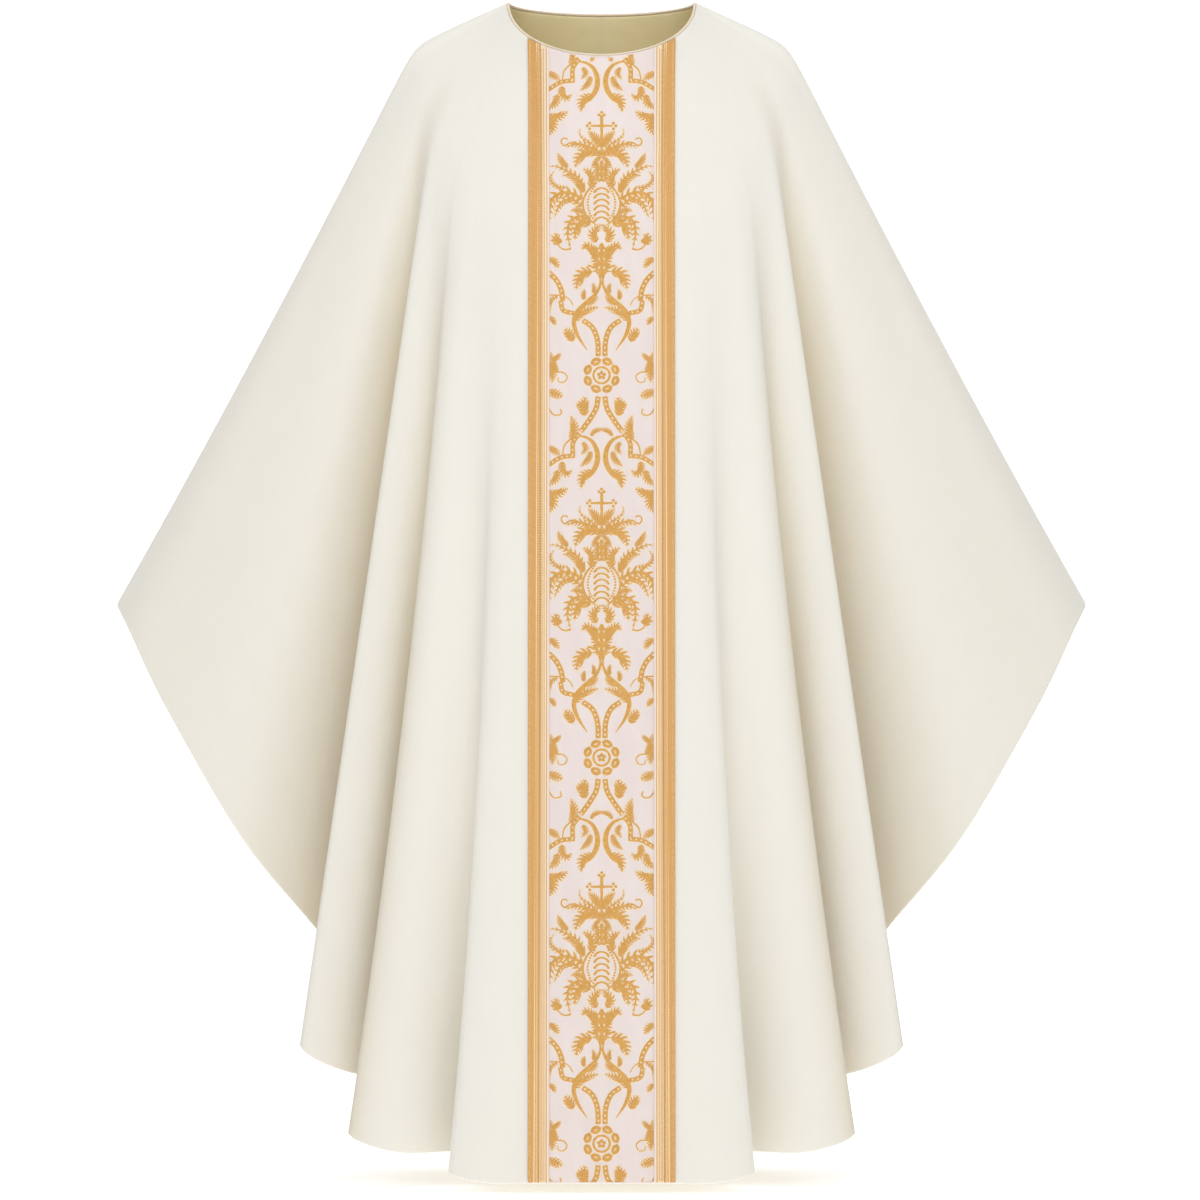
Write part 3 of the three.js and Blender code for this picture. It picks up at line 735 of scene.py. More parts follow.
# %% Motifs
REPEAT = 0.416
MOTIFS = {
    "stem": [
        (1.6, [(0.1, -11.2), (0.1, 12.3), (0.1, 35.7)]),
        (1.4, [(0.1, 0.8), (6.3, 0.8), (12, 0.8)]),
        (1.0, [(22.8, 21.8), (32.8, 19.6), (40.8, 23.2), (43.6, 18.1), (40.8, 14.4), (36.4, 15.9)]),
        (1.2, [(5.5, 65.1), (15.6, 75.3), (20.3, 88.5), (15.9, 102.4), (6.3, 112.3)]),
        (1.3, [(8.1, 76.3), (4.8, 72.4), (0.1, 70.8)]),
        (1.3, [(8.1, 82.6), (4.8, 78.7), (0.1, 77.2)]),
        (1.3, [(8.1, 89.2), (4.8, 85.3), (0.1, 83.8)]),
        (1.3, [(8.1, 95.8), (4.8, 91.9), (0.1, 90.4)]),
        (1.3, [(8.1, 102.4), (4.8, 98.5), (0.1, 96.9)]),
        (1.3, [(8.1, 109), (4.8, 105.1), (0.1, 103.5)]),
        (0.9, [(32.8, 138.3), (39.3, 139.5), (46.1, 135.4), (47.9, 129.5)]),
        (1.2, [(14.9, 157.1), (7, 158.5), (0.1, 159.2)]),
        (2.9, [(0.1, 158.8), (0.1, 164.7), (0.1, 170.6)]),
        (0.7, [(57.2, 189.3), (45.4, 189.7), (35.4, 193.4), (30.8, 200.7)]),
        (0.7, [(48.3, 273.5), (41.1, 274.3), (37.1, 278.7), (40.4, 284.8), (46.6, 283.8),
               (46.9, 279.4)]),
        (0.9, [(56.6, 299.2), (56.2, 314.6), (50.5, 320.9), (43.1, 318.6), (44.7, 313.8)]),
        (0.9, [(32.5, 346.1), (39.7, 353.4), (42.1, 363.7)]),
    ],
    "dot": [
        (1.7, [(12.7, -2.1)]),
        (1.7, [(15.3, 0.8)]),
        (1.7, [(12.7, 4.2)]),
        (1.7, [(0.1, -14.4)]),
        (1.7, [(2.7, -11.5)]),
        (2.3, [(6, 138.6)]),
    ],
    "leaf": [
        (3.5, [(0.9, 24.7), (5.5, 15.9), (10.6, 10), (14.9, 7.1)]),
        (2.0, [(1.9, 31.3), (11.3, 20.3), (19.9, 15.2), (24.2, 9.3), (22.8, 3.5)]),
        (3.7, [(1.5, 34.2), (11.3, 26.2), (22.8, 21.8), (34.3, 23.2), (38.6, 25.5)]),
        (4.9, [(4.8, 31.3), (15.6, 29.8), (24.2, 36.4), (28.5, 48.2)]),
        (2.0, [(0.9, 35.4), (6.7, 41.6), (10.6, 48.9)]),
        (3.7, [(12.7, 69.4), (9.6, 60.6), (12.7, 53.3), (20.6, 49.6)]),
        (3.2, [(19.2, 70.1), (26.4, 58.5), (38.6, 51.1), (51.5, 46), (56.6, 46.7)]),
        (2.6, [(36.4, 47.4), (43.2, 40.8), (47.2, 31.3)]),
        (2.3, [(39.3, 70.8), (50.8, 68), (55.6, 59.2), (50.8, 51.9)]),
        (3.2, [(18.5, 72.4), (27.1, 62.8), (34.3, 56.9), (42.6, 56.9)]),
        (2.9, [(19.2, 76), (22.8, 69.4), (27.8, 65.1)]),
        (4.9, [(20.6, 83.3), (32.8, 76.7), (45.8, 76.7), (53.7, 84), (55.9, 98.8), (56.1, 109.7)]),
        (3.7, [(21.3, 91.5), (32.8, 83.3), (42.9, 86.3), (47.9, 95.8), (50.8, 103.8)]),
        (2.3, [(19.2, 99.5), (24.9, 95.1), (33.6, 96.5)]),
        (4.0, [(11.3, 107.5), (22.8, 102.4), (32.8, 106.1), (36.7, 117.8), (33.6, 138.3)]),
        (5.2, [(12, 111.2), (21.3, 108.3), (27.4, 115.6), (28.8, 128.8)]),
        (3.7, [(46.5, 133.9), (49.4, 128.8), (48.4, 120.7)]),
        (2.6, [(42.6, 130.2), (47.9, 129.5), (53.7, 127.3)]),
        (3.7, [(5.5, 131), (9.6, 122.2), (4.8, 115.6), (0.1, 111.2)]),
        (3.5, [(5.5, 148.6), (10.6, 139.1), (17, 133.9), (21.6, 139.8)]),
        (2.9, [(56.6, 149.3), (50.8, 152.2), (46.1, 159.6)]),
        (4.9, [(10.9, 163.6), (19.6, 165), (25.3, 173.2), (27.5, 183.4)]),
        (2.0, [(18.8, 194.4), (19.8, 188.5), (18.1, 183.1)]),
        (1.7, [(9.5, 187.1), (7.8, 181.2), (9.8, 176.4)]),
        (2.6, [(16.7, 198.8), (8.8, 195.1), (3.7, 190.4)]),
        (3.5, [(28.5, 217.1), (21, 208.3), (11.6, 204.6), (3, 202.5)]),
        (2.3, [(47.6, 190.4), (54.8, 195.1), (56.2, 212.7)]),
        (2.3, [(57.2, 214.2), (52.6, 216.4), (49.5, 222.3)]),
        (4.0, [(31.1, 239.8), (34.6, 232.5), (39.7, 225.9)]),
        (2.9, [(48.3, 273.5), (52.6, 264), (54.8, 251.6)]),
        (2.0, [(52.6, 261.1), (47.6, 257.4), (44, 253)]),
        (3.2, [(56.2, 264), (52.6, 274.3), (53.3, 285.3)]),
        (3.7, [(57.6, 294.9), (51.2, 297), (41.8, 300.6)]),
        (4.3, [(18.1, 321.2), (19.6, 312.4), (17.4, 300.6)]),
        (3.2, [(16.7, 313.8), (22.4, 309.5), (27.5, 309.5)]),
        (3.5, [(32.5, 347.6), (29.3, 334.4), (33.2, 321.2)]),
        (2.0, [(11.6, 343.2), (7.3, 338.1), (-2.7, 336.2)]),
        (2.3, [(20.3, 350.5), (16.7, 357.1), (21.7, 363.7)]),
        (2.6, [(11.6, 360.7), (14.5, 369.6), (23.1, 376.9)]),
        (4.0, [(9.5, 382.8), (19.6, 387.1), (22.4, 400.3)]),
        (2.9, [(57.6, 355.7), (51.2, 359.3), (44.7, 364.5)]),
        (3.2, [(42.3, 371.8), (41.8, 382), (37.5, 385.7), (31.8, 380.5)]),
        (3.2, [(48, 381.3), (49, 390.1), (56.9, 397.5)]),
        (3.7, [(57.6, 405.5), (48.3, 406.9), (36.1, 400.3)]),
        (3.7, [(57.6, 404.8), (51.9, 415), (56.2, 427.5)]),
    ],
    "bud": [
        (6.6, [(0.1, 40.1), (0.1, 51.9), (0.1, 62.8)]),
        (8.9, [(0.1, 132.5), (0.1, 148.6), (0.1, 164)]),
    ],
    "beads": [
        (1.2, [(6.7, 68), (12.7, 78.3), (14.9, 88.5), (12.7, 98.8), (6.3, 108.3)]),
    ],
    "strap": [
        (2.9, [(57.3, 164), (49.4, 172), (43.6, 183.7), (41.8, 195.5)]),
        (2.6, [(44.1, 195.5), (41.8, 205.7), (29.7, 209.4)]),
        (2.9, [(20.3, 217.1), (10.9, 223.7), (5.5, 234.7), (3.7, 246.4), (3.7, 256)]),
        (2.9, [(3.7, 300.6), (5.5, 312.4), (12.4, 324.9), (22.4, 338.8)]),
        (2.6, [(23.9, 341), (30.3, 349.8), (31.1, 365.2)]),
        (2.6, [(28.9, 365.2), (42.6, 366.6), (57.6, 375.4)]),
    ],
    "scroll": [
        (2.6, [(15.2, 164.3), (5.9, 163.6), (1.1, 173.9), (5.2, 186.4), (16.7, 198), (26, 207.6),
               (29.9, 219.3), (26, 233.2), (15.5, 249.7)]),
        (2.9, [(33.9, 347.6), (23.9, 343.7), (12.4, 347.6), (5.2, 359.3), (4.9, 372.5),
               (10.9, 384.3), (18.8, 391.6), (22.4, 401.1)]),
    ],
}
ROSETTE_AT = 277.2


def swell(t, at_start):
    """The half sine from that share of its way to its end: swells, then runs out to a point."""
    return np.sin(np.pi * (at_start + (1 - at_start) * t)) ** 0.75


def draw(strokes, path, widths):
    """Adds one stroke, or an array of them, to a list of strokes."""
    many = np.array(path, float).reshape(-1, *np.shape(path)[-2:])
    strokes.append((many, np.broadcast_to(widths, many.shape[:2])))


def leaf(strokes, points, half_width):
    """A rib, and on each side pointed lobes that leave it at 63 degrees and curl back by 34."""
    rib, t = smooth_path(points, 9), np.linspace(0, 1, 9)
    draw(strokes, rib, np.maximum(0.38 * half_width * swell(t, 0.2), 0.25))
    length = np.linalg.norm(np.diff(rib, axis=0), axis=1).sum()
    count = int(np.clip(np.round(length / (0.85 * half_width)), 3, 9))
    at = (np.arange(count) + 0.25) / (count + 0.1)
    start = np.stack([np.interp(at, t, rib[:, k]) for k in range(2)], -1)
    tangent = np.gradient(rib, axis=0)
    heading = np.interp(at, t, np.unwrap(np.arctan2(tangent[:, 1], tangent[:, 0])))
    size = 1.9 * half_width * swell(at, 0.28)
    s = np.linspace(0, 1, 5)
    for hand in (-1, 1):
        angle = heading[:, None] + hand * (1.1 - 0.6 * s[None, :])
        step = np.stack([np.cos(angle), np.sin(angle)], -1) * (size / 4)[:, None, None]
        path = start[:, None] + np.cumsum(step, axis=1) - step
        draw(strokes, path, np.maximum(0.19 * size[:, None] * swell(s, 0.4)[None, :], 0.2))


def oval(strokes, place, angle, half_length, half_width):
    """A strip with an oval outline, its long way turned by the angle."""
    s = np.linspace(-1, 1, 6)
    along = np.array([np.cos(angle), np.sin(angle)])
    path = np.array(place) + s[:, None] * half_length * along
    draw(strokes, path, np.maximum(half_width * np.sqrt(1 - s**2), 0.15))


def beads_along(strokes, points, step, radius):
    """Dots at that spacing along a curve."""
    path = smooth_path(points, 60)
    along = np.concatenate([[0], np.cumsum(np.linalg.norm(np.diff(path, axis=0), axis=1))])
    for at in np.arange(step / 2, along[-1], step):
        oval(strokes, [np.interp(at, along, path[:, k]) for k in range(2)], 0, radius, radius)


once, both, pale_once, pale_both = [], [], [], []
for width, points in MOTIFS["stem"]:
    middle = abs(points[0][0]) + abs(points[-1][0]) < 1
    draw(once if middle else both, smooth_path(points, 13), width * np.linspace(1.1, 0.7, 13))
for width, points in MOTIFS["scroll"]:
    t = np.linspace(0, 1, 25)
    draw(both, smooth_path(points, 25), np.maximum(width * np.sin(np.pi * t**1.3) ** 0.8, 0.45))
for width, points in MOTIFS["strap"]:
    draw(both, smooth_path(points, 11), width)
    beads_along(pale_both, points, 5.6, 0.42 * width)
for width, points in MOTIFS["leaf"]:
    leaf(both, points, width)
for width, points in MOTIFS["beads"]:
    beads_along(both, points, 3.2, width)
for width, points in MOTIFS["dot"]:
    oval(once if points[0][0] < 1 else both, points[0], 0, width, width)
for width, points in MOTIFS["bud"]:
    t = np.linspace(0, 1, 13)
    draw(once, smooth_path(points, 13), np.maximum(0.6 * width * swell(t, 0.05), 0.3))
    for share in (0.25, 0.55, 0.85):  # cupped petals, one pair above another
        top = np.array(points[0]) + (np.array(points[2]) - points[0]) * share
        reach = width * (1.25 - 0.5 * share)
        rib = [[0, 0.5 * width], [0.7 * reach, 0.1 * width], [reach, -0.6 * width]]
        leaf(both, [top + place for place in rib], 0.4 * width)
        oval(pale_both, top + [0.3 * width, 0], np.pi / 2, 0.22 * width, 0.1 * width)
for angle in np.pi * (np.arange(8) + 0.5) / 4:
    facing = np.array([np.cos(angle), np.sin(angle)])
    oval(once, 16.0 * facing + [0, ROSETTE_AT], angle + np.pi / 2, 6.1, 4.4)
    oval(pale_once, 15.8 * facing + [0, ROSETTE_AT], angle + np.pi / 2, 3.0, 0.7)
for angle in 2 * np.pi * np.arange(5) / 5 - np.pi / 2:
    oval(once, (3.1 * np.cos(angle), ROSETTE_AT + 3.1 * np.sin(angle)), angle, 2.0, 1.9)
turn = np.linspace(0, 2 * np.pi, 25)
draw(once, 8.8 * np.stack([np.cos(turn), np.sin(turn)], -1) + [0, ROSETTE_AT], 1.2)
oval(pale_once, (0, ROSETTE_AT), 0, 1.1, 1.1)


def batches(strokes):
    """The strokes as a few arrays, each of strokes with as many points as each other, in metres."""
    for count in sorted({paths.shape[1] for paths, _ in strokes}):
        same = [entry for entry in strokes if entry[0].shape[1] == count]
        yield [np.concatenate(parts) / 1000 for parts in zip(*same)]


def figure(end, drawn, lift, height, grow):
    """All repeats of the strokes on one band, cut off at the braids, the neck and the hem. Each
    list of strokes comes with its hand, 1 as drawn or -1 mirrored."""
    edge = HALF_BAND - BRAID_WIDTH - 0.0002
    cross_at = np.interp(FIRST_CROSS, tables[end][4][::-1], tables[end][5][::-1])
    foot = tables[end][5][-1] - cross_at
    parts = []
    for strokes, hand in drawn:
        for paths, widths in batches(strokes):
            paths = np.concatenate([paths * [hand, 1] + [0, k * REPEAT] for k in range(-1, 4)])
            widths = np.tile(widths, (5, 1))
            top = np.interp(np.abs(paths[..., 0]).mean(1), table_x, tables[end][3])
            near = (paths[..., 1].min(1) < foot - 0.001) & (np.abs(paths[..., 0]).min(1) < edge)
            near &= FIRST_CROSS - paths[..., 1].max(1) < top - 0.001
            parts.append(ribbons(end, paths[near], widths[near], lift, height, edge, grow))
    return join(parts)


def crisp(piece):
    """Shades a piece's under side apart from its top, or its edges would look dirty."""
    piece.data.set_sharp_from_angle(angle=1.25)
    return piece


ON_BAND = {  # lift off the band, height, and how far the strip reaches past the stroke
    "figure": (0.00022, 0.00036, 0.0),
    "outline": (0.00008, 0.00014, 0.0009),
    "beads": (0.0005, 0.00028, 0.0),
}
halves = {"left": [(once, 1), (both, 1)], "right": [(both, -1)]}
pale_strokes = [(pale_once, 1), (pale_both, 1), (pale_both, -1)]
for end in SIDE:
    for hand, drawn in halves.items():
        for kind in ("figure", "outline"):
            name = f"{end}_{kind}_{hand}"
            pieces[name] = crisp(mesh_object(name, *figure(end, drawn, *ON_BAND[kind])))
    name = f"{end}_beads"
    pieces[name] = crisp(mesh_object(name, *figure(end, pale_strokes, *ON_BAND["beads"])))
print({n: len(p.data.polygons) * 2 for n, p in pieces.items() if n.split("_")[1] in ON_BAND})

# %% [markdown]
# ## Braid cords
# A braid is woven of cords: a flat gold one at the outer edge, a finer pair beside it, and two
# chains, each made of two cords that cross and cross again and leave a small eye between them.

# %% Braid cords
CORDS = [  # mm from the outer edge, half width, height
    (1.7, 1.45, 0.42),
    (5.1, 0.45, 0.32),
    (7.7, 0.45, 0.32),
    (17.0, 0.50, 0.38),
]
CHAINS = [11.0, 14.2]
CHAIN_PITCH, CHAIN_SWING, CHAIN_CORD = 2.9, 1.1, 0.36
on_braid = BRAID_TOP - DEPTH["band"][1]
for end in SIDE:
    reach = tables[end][5][-1]
    cross_at = np.interp(FIRST_CROSS, tables[end][4][::-1], tables[end][5][::-1])
    for hand, sign in (("left", 1), ("right", -1)):
        parts = []
        down = np.linspace(-cross_at - 0.022, reach - cross_at - 0.001, 240)
        for place, width, height in CORDS:
            x = np.full(len(down), sign * (HALF_BAND - place / 1000))
            start = FIRST_CROSS - np.interp(abs(x[0]), table_x, tables[end][3]) + 0.0015
            path = np.stack([x, np.linspace(start, down[-1], 240)], -1)[None]
            widths = np.full((1, 240), width / 1000)
            parts.append(ribbons(end, path, widths, on_braid, height / 1000, HALF_BAND))
        samples = int(1000 * (down[-1] + 0.09) / CHAIN_PITCH * 4)
        for place in CHAINS:
            x = HALF_BAND - place / 1000
            start = FIRST_CROSS - np.interp(x, table_x, tables[end][3]) + 0.0015
            along = np.linspace(start, down[-1], samples)
            for swing in (-1, 1):
                wave = swing * CHAIN_SWING * np.sin(np.pi * along * 1000 / CHAIN_PITCH)
                path = np.stack([sign * (HALF_BAND - (place + wave) / 1000), along], -1)[None]
                widths = np.full((1, samples), CHAIN_CORD / 1000)
                height = 0.0004 + 0.00006 * swing
                parts.append(ribbons(end, path, widths, on_braid, height, HALF_BAND))
        name = f"{end}_braid_cords_{hand}"
        pieces[name] = crisp(mesh_object(name, *join(parts)))
print("cords", len(pieces["front_braid_cords_left"].data.polygons) * 2, "triangles each")

# %% [markdown]
# ## Shader arithmetic
# Weaves are sums and products of waves, which read badly as chains of nodes. A small class lets a
# socket be added and multiplied like a number, and one method makes any other node.

# %% Shader arithmetic
class Value:
    """A shader value that can be added, multiplied and compared, like a number."""

    def __init__(self, graph, socket):
        self.graph, self.socket = graph, socket

    def math(self, operation, *others):
        return self.graph.math(operation, self, *others)

    def __add__(self, other):
        return self.math("ADD", other)

    def __mul__(self, other):
        return self.math("MULTIPLY", other)

    def __rsub__(self, other):
        return self.graph.math("SUBTRACT", other, self)

    def __gt__(self, other):
        return self.math("GREATER_THAN", other)

    __radd__ = __add__

    def sine(self):
        return self.math("SINE")

    def size(self):
        return self.math("ABSOLUTE")

    def clamped(self):
        return self.math("MINIMUM", 1.0).math("MAXIMUM", 0.0)


class Graph:
    """A new material and the nodes that feed its surface."""

    def __init__(self, name):
        self.material = bpy.data.materials.new(name)
        self.material.use_nodes = True
        self.tree = self.material.node_tree
        self.surface = self.tree.nodes["Principled BSDF"]

    def feed(self, socket, value):
        if isinstance(value, Value):
            self.tree.links.new(value.socket, socket)
        else:
            socket.default_value = value

    def node(self, kind, settings, inputs, output=0):
        """A node of any kind: its settings first, then its inputs by name or number."""
        made = self.tree.nodes.new(kind)
        for key, value in settings.items():
            setattr(made, key, value)
        for key, value in inputs.items():
            self.feed(made.inputs[key], value)
        return Value(self, made.outputs[output])

    def math(self, operation, *values):
        return self.node("ShaderNodeMath", {"operation": operation}, dict(enumerate(values)))

    def mix(self, share, a, b):
        """Colour a plus that share of the way to colour b."""
        return self.node("ShaderNodeMix", {"data_type": "RGBA"}, {0: share, 6: a, 7: b}, 2)

    def brighten(self, colour, amount):
        """A colour times a number."""
        inputs = {0: colour, "Scale": amount}
        return self.node("ShaderNodeVectorMath", {"operation": "SCALE"}, inputs)

    def cloth_place(self):
        """The two coordinates on the flat cloth, in metres."""
        uv = self.node("ShaderNodeUVMap", {"uv_map": "UVMap"}, {})
        return [self.node("ShaderNodeSeparateXYZ", {}, {0: uv}, k) for k in range(2)]

    def noise(self, x, y, detail=2.0):
        """Soft random values from 0 to 1 at a place whose unit is one blot."""
        place = self.node("ShaderNodeCombineXYZ", {}, {0: x, 1: y})
        inputs = {"Vector": place, "Scale": 1.0, "Detail": detail}
        return self.node("ShaderNodeTexNoise", {"noise_dimensions": "2D"}, inputs)

    def bump(self, height, distance, normal=None):
        """The surface direction tilted as if the height, in parts of the distance, stood on it."""
        inputs = {"Height": height, "Distance": distance, "Strength": 1.0}
        if normal is not None:
            inputs["Normal"] = normal
        return self.node("ShaderNodeBump", {}, inputs)

    def finish(self, **sockets):
        """Feeds the surface, whose sockets are named with underscores for spaces."""
        for key, value in sockets.items():
            self.feed(self.surface.inputs[key.replace("_", " ")], value)
        return self.material


def plain_weave(graph, x, y, pitch):
    """Threads over and under: the arch of the thread on top, which is the one across where the
    product of the two waves is above zero, and the one down elsewhere."""
    wave_x, wave_y = (x * (np.pi / pitch)).sine(), (y * (np.pi / pitch)).sine()
    over = wave_x * wave_y > 0.0
    return wave_x.size() * over + wave_y.size() * (1.0 - over)


def twill(x, y, pitch):
    """Diagonal ribs: a wave along the sum of the two directions."""
    return ((x + y) * (2 * np.pi / pitch)).sine() * 0.5 + 0.5


sample = Graph("sample")
plain_weave(sample, *sample.cloth_place(), 0.001)
print("a plain weave takes", len(sample.tree.nodes), "nodes")
bpy.data.materials.remove(sample.material)

# %% [markdown]
# ## Finishes
# Each finish belongs to one of the record's material slots. The outer cloth is a fine ivory wool
# with a soft bloom, and a warm painted shade where it lies deep in a fold, which stands in for the
# light that gets there having come off more cloth on the way. The lining is champagne satin, the
# band's ground blush silk, and the figure and braids are gilt thread.

# %% Finishes
def rgb(red, green, blue):
    """A colour from its 0 to 255 screen values, as the linear values light is reckoned in."""
    c = np.array([red, green, blue]) / 255
    c = np.where(c <= 0.04045, c / 12.92, ((c + 0.055) / 1.055) ** 2.4)
    return (*c.tolist(), 1.0)


def outer_cloth(name):
    """Ivory wool: a fine twill, slight slubs and painted warm shade in the fold valleys."""
    g = Graph(name)
    x, y = g.cloth_place()
    # Painted shade: the fold attribute holds how much warm shade is painted at each point.
    painted_shade = g.node("ShaderNodeAttribute", {"attribute_name": "fold"}, {}, 2)
    slub = g.noise(x * 1800.0, y * 240.0)
    cloud = g.noise(x * 30.0, y * 18.0)
    # Painted shade: the colour goes from ivory towards a warm tan as the painted shade rises.
    colour = g.mix(painted_shade.clamped(), rgb(243, 240, 231), rgb(208, 190, 150))
    colour = g.brighten(colour, 0.975 + slub * 0.03 + cloud * 0.02)
    soft = g.bump(g.noise(x * 90.0, y * 60.0), 0.0004)
    fine = g.bump(twill(x, y, 0.0013) * 0.7 + slub * 0.3, 0.00007, soft)
    return g.finish(Base_Color=colour, Roughness=0.78, Normal=fine, Sheen_Weight=0.25,
                    Sheen_Roughness=0.45, Specular_IOR_Level=0.3)


def satin(name):
    """Champagne satin: long floats down the cloth and a soft gloss."""
    g = Graph(name)
    x, y = g.cloth_place()
    float_thread = g.noise(x * 2400.0, y * 90.0)
    cloud = g.noise(x * 22.0, y * 14.0)
    colour = g.mix(cloud, rgb(250, 233, 176), rgb(255, 242, 198))
    colour = g.brighten(colour, 0.96 + float_thread * 0.06)
    normal = g.bump(float_thread, 0.00005, g.bump(cloud, 0.0015))
    return g.finish(Base_Color=colour, Roughness=0.36 + float_thread * 0.08, Normal=normal,
                    Specular_IOR_Level=0.5)


def canvas(name):
    """Unbleached linen: a coarse plain weave."""
    g = Graph(name)
    x, y = g.cloth_place()
    weave = plain_weave(g, x, y, 0.0009)
    colour = g.mix(weave, rgb(196, 186, 160), rgb(228, 220, 200))
    return g.finish(Base_Color=colour, Roughness=0.9, Normal=g.bump(weave, 0.00015))


def brocade_ground(name):
    """Blush silk: fine ribs across the band, with a faint watered sheen."""
    g = Graph(name)
    x, y = g.cloth_place()
    rib = (y * (2 * np.pi / 0.0011)).sine() * 0.5 + 0.5
    water = g.noise(x * 60.0 + y * 9.0, y * 16.0)
    colour = g.mix(water, rgb(236, 221, 217), rgb(243, 231, 227))
    colour = g.brighten(colour, 0.965 + rib * 0.05)
    return g.finish(Base_Color=colour, Roughness=0.5 + water * 0.1, Sheen_Weight=0.15,
                    Normal=g.bump(rib, 0.00006), Specular_IOR_Level=0.45)


def gilt(name, light, dark, twist=0.0011, metal=0.25):
    """Gilt thread: diagonal strands along the stroke, darker between them."""
    g = Graph(name)
    x, y = g.cloth_place()
    strand = twill(x, y * 1.6, twist)
    blot = g.noise(x * 260.0, y * 420.0)
    shade = (strand * 0.45 + blot * 0.75).clamped()
    colour = g.mix(shade, dark, light)
    return g.finish(Base_Color=colour, Roughness=0.42 + blot * 0.12, Metallic=metal,
                    Normal=g.bump(strand, 0.00012))


def pale_thread(name):
    """The silk that outlines the figure: cream with a peach cast."""
    g = Graph(name)
    x, y = g.cloth_place()
    strand = twill(x, y, 0.0009)
    colour = g.mix(strand, rgb(243, 219, 186), rgb(252, 240, 222))
    return g.finish(Base_Color=colour, Roughness=0.5, Normal=g.bump(strand, 0.00006))


def braid_ground(name):
    """The braid's woven ground: stripes that each start at a distance from its inner edge."""
    g = Graph(name)
    x, y = g.cloth_place()
    inwards = x.size() * 1000.0
    pick = (y * (2 * np.pi / 0.0010)).sine() * 0.5 + 0.5
    pale, gold, ochre = rgb(252, 232, 198), rgb(226, 172, 100), rgb(190, 128, 58)
    stripes = [(1.1, rgb(252, 234, 222)), (2.4, gold), (3.7, pale), (10.6, ochre), (11.5, gold),
               (12.6, rgb(246, 206, 142)), (14.6, gold), (15.6, pale), (16.8, gold)]
    colour = rgb(240, 222, 212)
    for start, tone in stripes:
        colour = g.mix(inwards > start, colour, tone)
    colour = g.brighten(colour, 0.93 + pick * 0.1)
    return g.finish(Base_Color=colour, Roughness=0.5, Normal=g.bump(pick, 0.0001), Metallic=0.1)


FINISHES = {
    "outer": outer_cloth("ivory_wool"),
    "lining": satin("champagne_satin"),
    "canvas": canvas("linen_canvas"),
    "ground": brocade_ground("blush_silk"),
    "gold": gilt("gilt_figure", rgb(246, 194, 108), rgb(200, 134, 50), metal=0.12),
    "cord": gilt("gilt_cord", rgb(246, 200, 130), rgb(206, 142, 72), 0.0014, 0.12),
    "pale": pale_thread("cream_silk"),
    "braid": braid_ground("braid_ground"),
}
print(len(FINISHES), "finishes")

# %% [markdown]
# ## Dressing the pieces
# Each piece gets its finish, and the record's slot it would be painted from is worked out beside
# it. A piece that stands for an imported node takes that node's name with _cloth added, and the
# node is hidden.

# %% Dressing
def finish_of(name):
    """The finish and the record's slot that a piece takes, by its name."""
    if "panel" in name:
        return "outer", "outer_cloth"
    if "lining" in name:
        return "lining", "lining"
    if "canvas" in name or "stay" in name:
        return "canvas", "interlining"
    if name.split("_")[1] in ON_BAND:
        return "gold" if "figure" in name else "pale", "band_cloth"
    if "cords" in name:
        return "cord", "braid"
    if "braid" in name:
        return "braid", "braid"
    return ("pale", "piping") if "piping" in name else ("ground", "band_cloth")


for name, piece in pieces.items():
    piece.name = f"{name}_cloth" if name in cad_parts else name
    finish, slot = finish_of(name)
    piece.data.materials.append(FINISHES[finish])
    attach(piece, "root")
    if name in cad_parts:
        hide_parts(name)
print(len(pieces), "pieces, standing for", sum(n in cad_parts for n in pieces), "nodes")

# %% [markdown]
# ## What each sheet was cut from
# For each sheet of cloth, what carries it and whether it is draped or hung are worked out beside
# the size of its flat cut. The panels carry the band and its braids, and the lining and the tapes
# hang under them.

# %% What carries each sheet
RESTS_ON = {
    "panel": lambda end, hand: [
        f"{end}_lining_{hand}", f"shoulder_stay_{hand}", f"neck_stay_{end}"],
    "lining": lambda end, hand: [f"neck_stay_{end}", f"shoulder_stay_{hand}"],
    "braid": lambda end, hand: [f"{end}_band"],
}
for name, (width, height, area) in flats.items():
    piece = pieces[name]
    end = "front" if "front" in name else "back"
    hand = "left" if name.endswith("left") else "right"
    also = []
    if name.endswith("_band"):
        rests = [f"{end}_band_canvas"]
        also = [p for n, p in pieces.items() if n.startswith(end) and n.split("_")[1] in ON_BAND]
    elif name.endswith("canvas"):
        rests = [f"{end}_panel_left", f"{end}_panel_right"]
    elif "stay" in name:
        rests = ["front_lining_left", "front_lining_right"]
    else:
        rests = RESTS_ON[name.split("_")[1]](end, hand)
        also = [pieces[f"{end}_braid_cords_{hand}"]] if "braid" in name else []
    held = "draped" if "panel" in name or "lining" in name else "hung"
    min(area, width * height)
    [pieces[below] for below in rests]
print(len(flats), "sheets declared")

# %% [markdown]
# ## The studio
# A pale sweep stands under and behind the garment, so that no horizon shows, and large soft lamps
# leave the shading to the folds and to the shade painted into their valleys. The floor lies just
# below the hem, where it takes a faint shadow.

# %% Studio
FLOOR = -LENGTH - 0.012


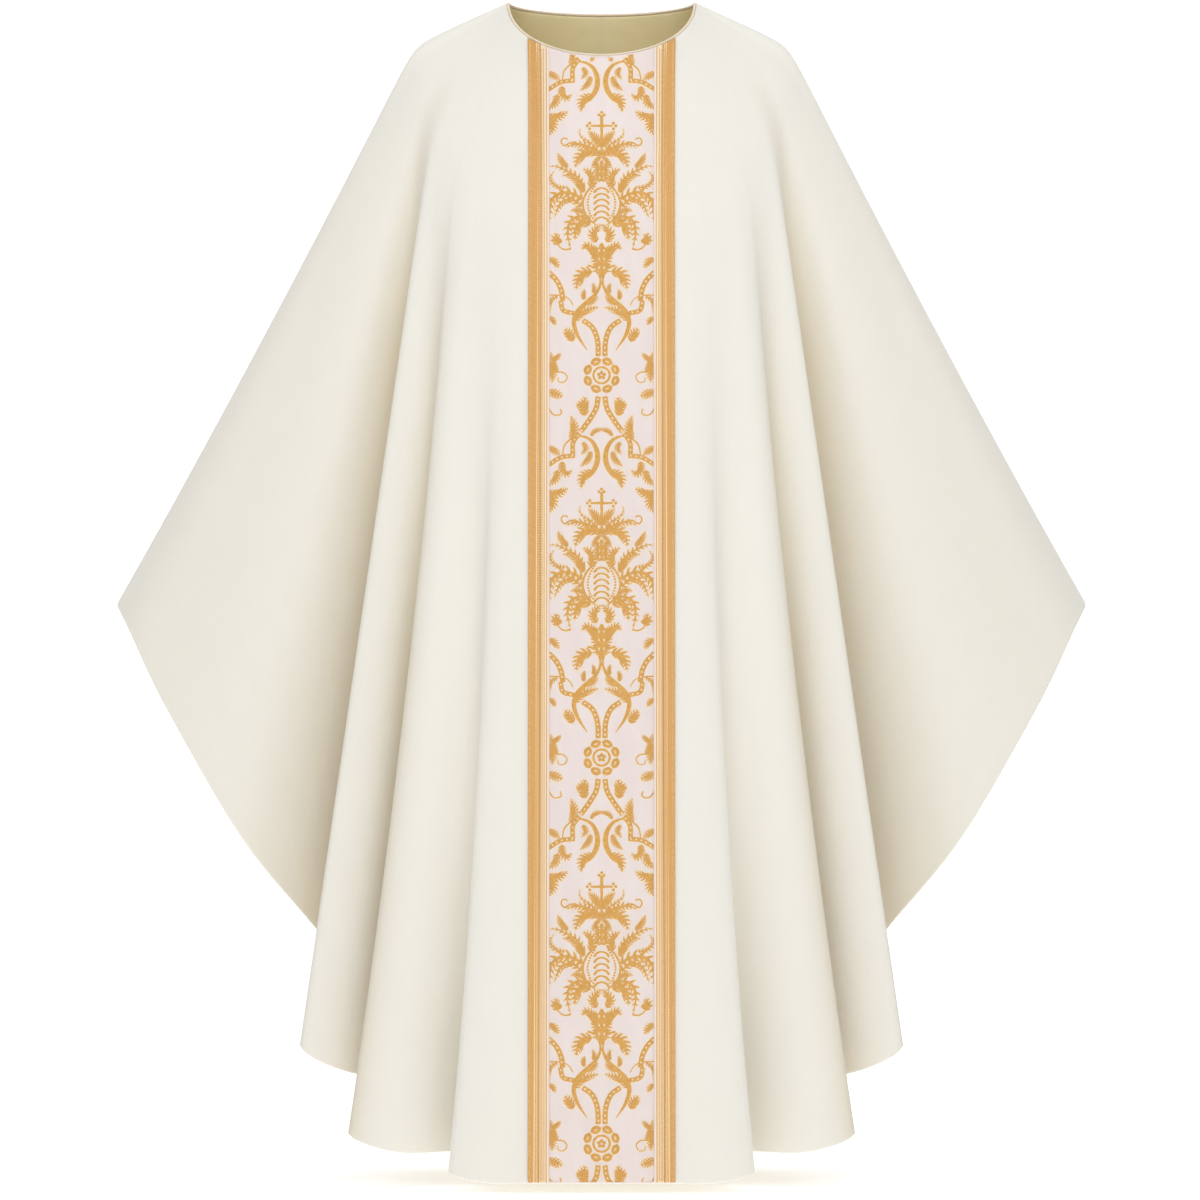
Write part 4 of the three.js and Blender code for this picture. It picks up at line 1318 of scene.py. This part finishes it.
def sweep(width, front, back, radius, height, count=24):
    """The floor, a quarter circle up, and the wall, as one strip of faces."""
    turn = np.linspace(0, np.pi / 2, count)
    y = np.concatenate([[front], back + radius * np.sin(turn), [back + radius]])
    z = np.concatenate([[0], radius * (1 - np.cos(turn)), [height]]) + FLOOR
    x = np.array([-width / 2, width / 2])
    points = np.stack([np.broadcast_to(x, (len(y), 2)), np.repeat(y[:, None], 2, 1),
                       np.repeat(z[:, None], 2, 1)], -1)
    index = np.arange(len(y) * 2).reshape(-1, 2)
    quads = np.stack([index[:-1, 0], index[:-1, 1], index[1:, 1], index[1:, 0]], -1)
    return mesh_object("sweep", points.reshape(-1, 3), quads)


def studio_white():
    """Pale matt paper, clear from behind, so that it never stands before the garment's back."""
    g = Graph("studio_white")
    g.finish(Base_Color=(0.93, 0.93, 0.93, 1.0), Roughness=0.9, Emission_Color=(1, 1, 1, 1),
             Emission_Strength=0.54)
    from_behind = g.node("ShaderNodeNewGeometry", {}, {}, "Backfacing")
    paper, clear = Value(g, g.surface.outputs[0]), g.node("ShaderNodeBsdfTransparent", {}, {})
    shown = g.node("ShaderNodeMixShader", {}, {0: from_behind, 1: paper, 2: clear})
    g.feed(g.tree.nodes["Material Output"].inputs["Surface"], shown)
    return g.material


def softbox(name, place, aim, size, power):
    """A square lamp that faces the point it is aimed at."""
    lamp = bpy.data.lights.new(name, "AREA")
    lamp.size, lamp.energy = size, power
    made = bpy.data.objects.new(name, lamp)
    bpy.context.scene.collection.objects.link(made)
    direction = unit(np.array(aim, float) - np.array(place, float))
    made.location = place
    made.rotation_euler = (np.arccos(-direction[2]), 0, np.arctan2(-direction[0], direction[1]))


backdrop = sweep(14, -9, 1.6, 1.2, 5)
backdrop.data.materials.append(studio_white())
softbox("key", (1.4, -4.6, 1.7), (0, 0, -0.5), 2.4, 33)
softbox("fill", (-1.6, -4.5, 1.0), (0, 0, -0.5), 2.4, 20)
softbox("top", (0, -1.3, 2.6), (0, 0, -0.2), 1.8, 42)
world = bpy.data.worlds.new("studio")
world.use_nodes = True
world.node_tree.nodes["Background"].inputs["Color"].default_value = (1.0, 1.0, 1.0, 1.0)
world.node_tree.nodes["Background"].inputs["Strength"].default_value = 0.31
bpy.context.scene.world = world
bpy.context.scene.view_settings.view_transform = "Standard"
print("floor at", round(FLOOR, 3))
